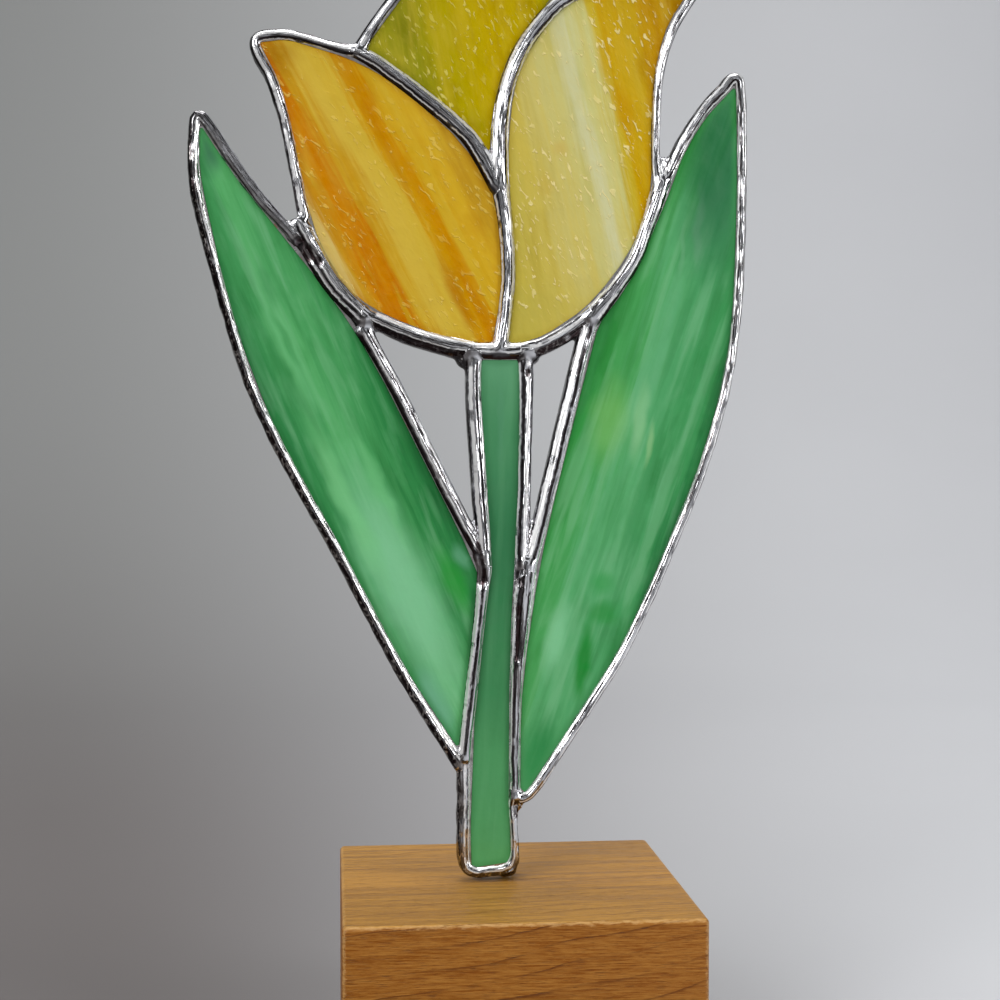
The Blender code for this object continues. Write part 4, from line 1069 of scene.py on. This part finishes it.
class TULIP_OT_rod(bpy.types.Operator):
    """Finish the steel rod and melt its two solder lumps"""

    bl_idname = "tulip.rod"
    bl_label = "Rod and its solder"

    def execute(self, context):
        dress(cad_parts["support_rod"], rod_finish("steel_rod"))
        finish = solder_finish("tack_solder", roughness=0.24)
        for node in ("rod_solder_foot", "rod_solder_top"):
            lump = copied(node, node + "_lump")
            remesh(lump, TACK_SKIN)
            relax(lump, 6)
            ripple(lump, "lumps", TACK_PITCH, TACK_LUMP)
            relax(lump, 2)
            apply_modifiers(lump)
            bpy.ops.object.shade_smooth()
            dress(lump, finish)
            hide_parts(node)
            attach(lump, "flower")
        return {"FINISHED"}


class TULIP_OT_glass(bpy.types.Operator):
    """Roll the six panes of glass"""

    bl_idname = "tulip.glass"
    bl_label = "Glass panes"

    def execute(self, context):
        settings = context.scene.tulip_glass
        lift = context.scene.tulip_solder.lift
        tree, marks = bead_finder(lift)
        for pane, row in GLASS.items():
            sheet = copied(pane + "_glass", pane + "_rolled_glass")
            remesh(sheet, settings.voxel)
            apply_modifiers(sheet)
            inside = sheet.vertex_groups.new(name="inside")
            shares = []
            for vertex in sheet.data.vertices:
                found = tree.find_n(flattened(vertex.co), 6)
                near = min(distance - marks[number][2] for _, number, distance in found)
                shares.append(clamped(near / PANE_MARGIN))
                inside.add([vertex.index], min(shares[-1] * 2, 1.0), "REPLACE")
            # How far each point lies in from the solder, which sets the painted shade along the glass's
            # edges
            write_layer(sheet.data, "edge", shares)
            ripple(sheet, "waves", settings.pitch, settings.wave, "inside")
            if row["grain"]:
                ripple(sheet, "hammering", HAMMER_PITCH, HAMMER_DEPTH * row["grain"], "inside")
            apply_modifiers(sheet)
            sheet.vertex_groups.clear()
            bpy.ops.object.shade_smooth()
            dress(sheet, glass_finish(pane, row, lift))
            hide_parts(pane + "_glass")
            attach(sheet, "flower")
        return {"FINISHED"}


class TULIP_OT_foil(bpy.types.Operator):
    """Finish the copper foil on the panes' edges"""

    bl_idname = "tulip.foil"
    bl_label = "Copper foil"

    def execute(self, context):
        finish = foil_finish("copper_foil")
        for pane in GLASS:
            dress(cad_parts[pane + "_foil"], finish)
        return {"FINISHED"}


def pour(settings):
    """Melts a tube along every bead and a puddle at every joint into one run of solder."""
    parts = []
    for name, (crest, stations) in BEADS.items():
        squareness = SEAM_SQUARENESS if name.startswith("seam") else RIM_SQUARENESS
        parts.append(bead_tube(name + "_run", crest, stations, squareness, settings.lift))
    for across, up, radius, crest in PUDDLES:
        bpy.ops.mesh.primitive_ico_sphere_add(subdivisions=4, radius=1.0,
                                              location=(across * MM, 0.0, up * MM + settings.lift),
                                              scale=(radius * MM, crest * MM, radius * MM))
        parts.append(settle(bpy.context.object))
    run = parts[0]
    active(run)
    for part in parts:
        part.select_set(True)
    bpy.ops.object.join()
    remesh(run, settings.voxel)
    relax(run, 8)
    apply_modifiers(run)
    return run


class TULIP_OT_solder(bpy.types.Operator):
    """Run solder along all the foiled edges and let it freeze in lumps"""

    bl_idname = "tulip.solder"
    bl_label = "Solder beads"

    def execute(self, context):
        settings = context.scene.tulip_solder
        run = pour(settings)
        tree, marks = bead_finder(settings.lift)
        names = list(BEADS)
        owner = np.array([marks[tree.find(flattened(face.center))[1]][1] for face in run.data.polygons])
        owner = whole_beads(run.data, owner)
        rough = run.vertex_groups.new(name="rough")
        for face in run.data.polygons:
            bead = names[owner[face.index]]
            rough.add(list(face.vertices), ROUGH_BEADS.get(bead, SMOOTH_BEAD), "REPLACE")
        ripple(run, "lumps", LUMP_PITCH, settings.lump, "rough")
        ripple(run, "dimples", DIMPLE_PITCH, settings.dimple, "rough")
        relax(run, 1)
        apply_modifiers(run)
        bpy.ops.object.shade_smooth()
        finish = solder_finish("solder", roughness=0.09)

        lengths = {}
        for _, index, _, _, along in marks:
            lengths[index] = max(lengths.get(index, 0.0), along)
        groove_dark, lanes, middles, headings, tarnish, sides, nearest, strength = ([] for _ in range(8))
        for vertex in run.data.vertices:
            in_front = vertex.co.y < 0
            share, left, dark = (0.0, 0.0, 0.0)
            if in_front:
                share, left, dark = groove_depth(vertex.co.x / MM, (vertex.co.z - settings.lift) / MM)
            if share and -vertex.co.y > left * MM:
                vertex.co.y += (-left * MM - vertex.co.y) * share
            place, index, half, heading, along = marks[tree.find(flattened(vertex.co))[1]]
            away = flattened(vertex.co) - place
            side = away.dot(Vector((heading.z, 0.0, -heading.x)))
            near_end = min(along, lengths[index] - along) / MM
            worn = clamped((along / MM - BRIGHT_STARTS.get(names[index], -BRIGHT_FADE)) / BRIGHT_FADE + 0.5)
            groove_dark.append(share * dark)
            lane = index * LANE_STEP + (BACK_LANE if vertex.co.y > 0 else 0.0)
            lanes.append(((along + away.dot(heading)) / MM, side / MM, lane))
            middles.append(clamped((near_end - PLAIN_END) / END_FADE))
            headings.append(heading)
            tarnish.append(TARNISHED_BEADS.get(names[index], 0.0) * worn if in_front else BACK_TARNISH)
            sides.append(side / half)
            nearest.append(index)
            strength.append(FAINT_REFLECTIONS + (1 - FAINT_REFLECTIONS) * worn if in_front else FAINT_REFLECTIONS)
        for name, values in (("tarnish", tarnish), ("middle", middles), ("groove_dark", groove_dark), ("across", sides)):
            write_layer(run.data, name, values)
        # The painted reflection bands of each point's bead
        for number in range(4):
            reflection_band = np.array([REFLECTION_BANDS[name][number] for name in names])[nearest]
            write_layer(run.data, f"band{number}", np.column_stack((reflection_band, strength)))
        write_layer(run.data, "run", lanes)

        run.data.update()
        normals = np.empty(len(run.data.vertices) * 3)
        run.data.vertex_normals.foreach_get("vector", normals)
        lumpy = np.array([ROUGH_BEADS.get(name, 0.0) for name in names])[nearest].clip(0, 1)
        evenness = 1 - ROUGH_SHADING * lumpy
        normals = draw_out(run, normals.reshape(-1, 3), np.array(headings), np.array(middles), evenness)
        for index, name in enumerate(names):
            bead = split_off(run, name + "_bead", owner == index, normals)
            dress(bead, finish)
            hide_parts(name)
            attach(bead, "flower")
        bpy.data.objects.remove(run)
        return {"FINISHED"}


def whole_beads(mesh, owner):
    """Gives each stray patch of a bead to the bead round it, so that every bead is one shell."""
    edges = np.empty(len(mesh.loops), dtype=int)
    mesh.loops.foreach_get("edge_index", edges)
    corners = np.empty(len(mesh.polygons), dtype=int)
    mesh.polygons.foreach_get("loop_total", corners)
    faces = np.repeat(np.arange(len(corners)), corners)[np.argsort(edges, kind="stable")]
    edges = np.sort(edges)
    shared = edges[:-1] == edges[1:]
    one, two = faces[:-1][shared], faces[1:][shared]
    one, two = np.concatenate((one, two)), np.concatenate((two, one))
    for turn in range(3):
        alike = np.bincount(one, owner[one] == owner[two], len(owner))
        lone = (alike[one] <= 1) & (owner[one] != owner[two])
        owner[one[lone]] = owner[two[lone]]
    parent = list(range(len(owner)))
    joined = owner[one] == owner[two]
    for first, second in zip(one[joined].tolist(), two[joined].tolist()):
        while parent[first] != first:
            parent[first] = parent[parent[first]]
            first = parent[first]
        while parent[second] != second:
            parent[second] = parent[parent[second]]
            second = parent[second]
        parent[first] = second
    patch = np.array(parent)
    while (patch[patch] != patch).any():
        patch = patch[patch]
    sizes = np.bincount(patch, minlength=len(owner))
    stray = np.zeros(len(owner), dtype=bool)
    for bead in np.unique(owner):
        mine = owner == bead
        stray |= mine & (patch != patch[mine][sizes[patch[mine]].argmax()])
    while stray.any():
        edge = stray[one] & ~stray[two]
        if not edge.any():
            break
        owner[one[edge]] = owner[two[edge]]
        stray[one[edge]] = False
    return owner


def draw_out(run, normals, headings, middles, evenness):
    """Evens the shading along each bead, and all round where beads meet, as molten metal settles."""
    ends = np.empty(len(run.data.edges) * 2, dtype=int)
    run.data.edges.foreach_get("vertices", ends)
    one, two = ends[::2], ends[1::2]
    places = np.empty(len(run.data.vertices) * 3)
    run.data.vertices.foreach_get("co", places)
    places = places.reshape(-1, 3)
    steps = places[two] - places[one]
    steps /= np.maximum(np.linalg.norm(steps, axis=1, keepdims=True), 1e-9)
    along = np.abs((steps * headings[one]).sum(axis=1)) ** 4
    share = (along * middles[one] + 0.5 * (1 - middles[one])) * evenness[one]
    for turn in range(10):
        total = normals.copy()
        for axis in range(3):
            total[:, axis] += np.bincount(one, share * normals[two, axis], len(places))
            total[:, axis] += np.bincount(two, share * normals[one, axis], len(places))
        normals = total / np.maximum(np.linalg.norm(total, axis=1, keepdims=True), 1e-9)
    return normals


def split_off(run, name, mine, normals):
    """One bead cut from the whole run of solder, closed where it was cut, with the run's own shading."""
    shell = bmesh.new()
    shell.from_mesh(run.data)
    shell.faces.ensure_lookup_table()
    layer = shell.verts.layers.int.new("origin")
    for vertex in shell.verts:
        vertex[layer] = vertex.index + 1
    bmesh.ops.delete(shell, geom=[face for face in shell.faces if not mine[face.index]], context="FACES")
    bmesh.ops.triangulate(shell, faces=shell.faces)
    for vertex in list(shell.verts):
        rims = [edge for edge in vertex.link_edges if edge.is_boundary]
        if len(rims) > 2:
            bmesh.utils.vert_separate(vertex, rims)
    capped = shell.faces.layers.int.new("capped")
    waiting = dict.fromkeys(edge for edge in shell.edges if edge.is_boundary)
    while waiting:
        ring = [waiting.popitem()[0]]
        for edge in ring:
            for other in [*edge.verts[0].link_edges, *edge.verts[1].link_edges]:
                if other in waiting:
                    del waiting[other]
                    ring.append(other)
        hub = sum((vertex.co for edge in ring for vertex in edge.verts), Vector()) / (2 * len(ring))
        hub = shell.verts.new(hub, ring[0].verts[0])
        for edge in ring:
            corner = edge.link_loops[0]
            shell.faces.new((corner.link_loop_next.vert, corner.vert, hub))[capped] = 1
    shell.faces.index_update()
    mesh = bpy.data.meshes.new(name)
    shell.to_mesh(mesh)
    origins = [vertex[layer] for vertex in shell.verts]
    flat = [face[capped] for face in shell.faces]
    shell.free()
    mesh.shade_smooth()
    directions = []
    for face in mesh.polygons:
        for corner in face.loop_indices:
            vertex = mesh.loops[corner].vertex_index
            own = face.normal if flat[face.index] else normals[origins[vertex] - 1]
            directions.append(tuple(own))
    mesh.normals_split_custom_set(directions)
    mesh.attributes.remove(mesh.attributes["origin"])
    mesh.attributes.remove(mesh.attributes["capped"])
    bead = bpy.data.objects.new(name, mesh)
    bpy.context.scene.collection.objects.link(bead)
    return bead


class TULIP_PT_panel(bpy.types.Panel):
    """Lists the tulip's pieces in the sidebar"""

    bl_idname = "TULIP_PT_panel"
    bl_label = "Stained glass tulip"
    bl_space_type = "VIEW_3D"
    bl_region_type = "UI"
    bl_category = "Tulip"

    def draw(self, context):
        for operator, settings in (("tulip.stage", "tulip_stage"), ("tulip.block", "tulip_block"),
                                   ("tulip.rod", ""), ("tulip.glass", "tulip_glass"), ("tulip.foil", ""),
                                   ("tulip.solder", "tulip_solder")):
            box = self.layout.box()
            box.operator(operator)
            if settings:
                group = getattr(context.scene, settings)
                for key in group.bl_rna.properties.keys():
                    if key not in ("rna_type", "name"):
                        box.prop(group, key)


GROUPS = {"tulip_stage": TulipStage, "tulip_block": TulipBlock, "tulip_glass": TulipGlass,
          "tulip_solder": TulipSolder}
CLASSES = (TulipStage, TulipBlock, TulipGlass, TulipSolder, TULIP_OT_stage, TULIP_OT_block, TULIP_OT_rod,
           TULIP_OT_glass, TULIP_OT_foil, TULIP_OT_solder, TULIP_PT_panel)


def register():
    """Adds the classes and their settings."""
    for kind in CLASSES:
        bpy.utils.register_class(kind)
    for name, group in GROUPS.items():
        setattr(bpy.types.Scene, name, bpy.props.PointerProperty(type=group))


def unregister():
    """Takes the settings and classes out again."""
    for name in GROUPS:
        delattr(bpy.types.Scene, name)
    for kind in reversed(CLASSES):
        bpy.utils.unregister_class(kind)


def main():
    """Sets the stage and makes every piece."""
    register()
    bpy.ops.tulip.stage()
    bpy.ops.tulip.block()
    bpy.ops.tulip.rod()
    bpy.ops.tulip.glass()
    bpy.ops.tulip.foil()
    bpy.ops.tulip.solder()


if __name__ == "__main__":
    main()
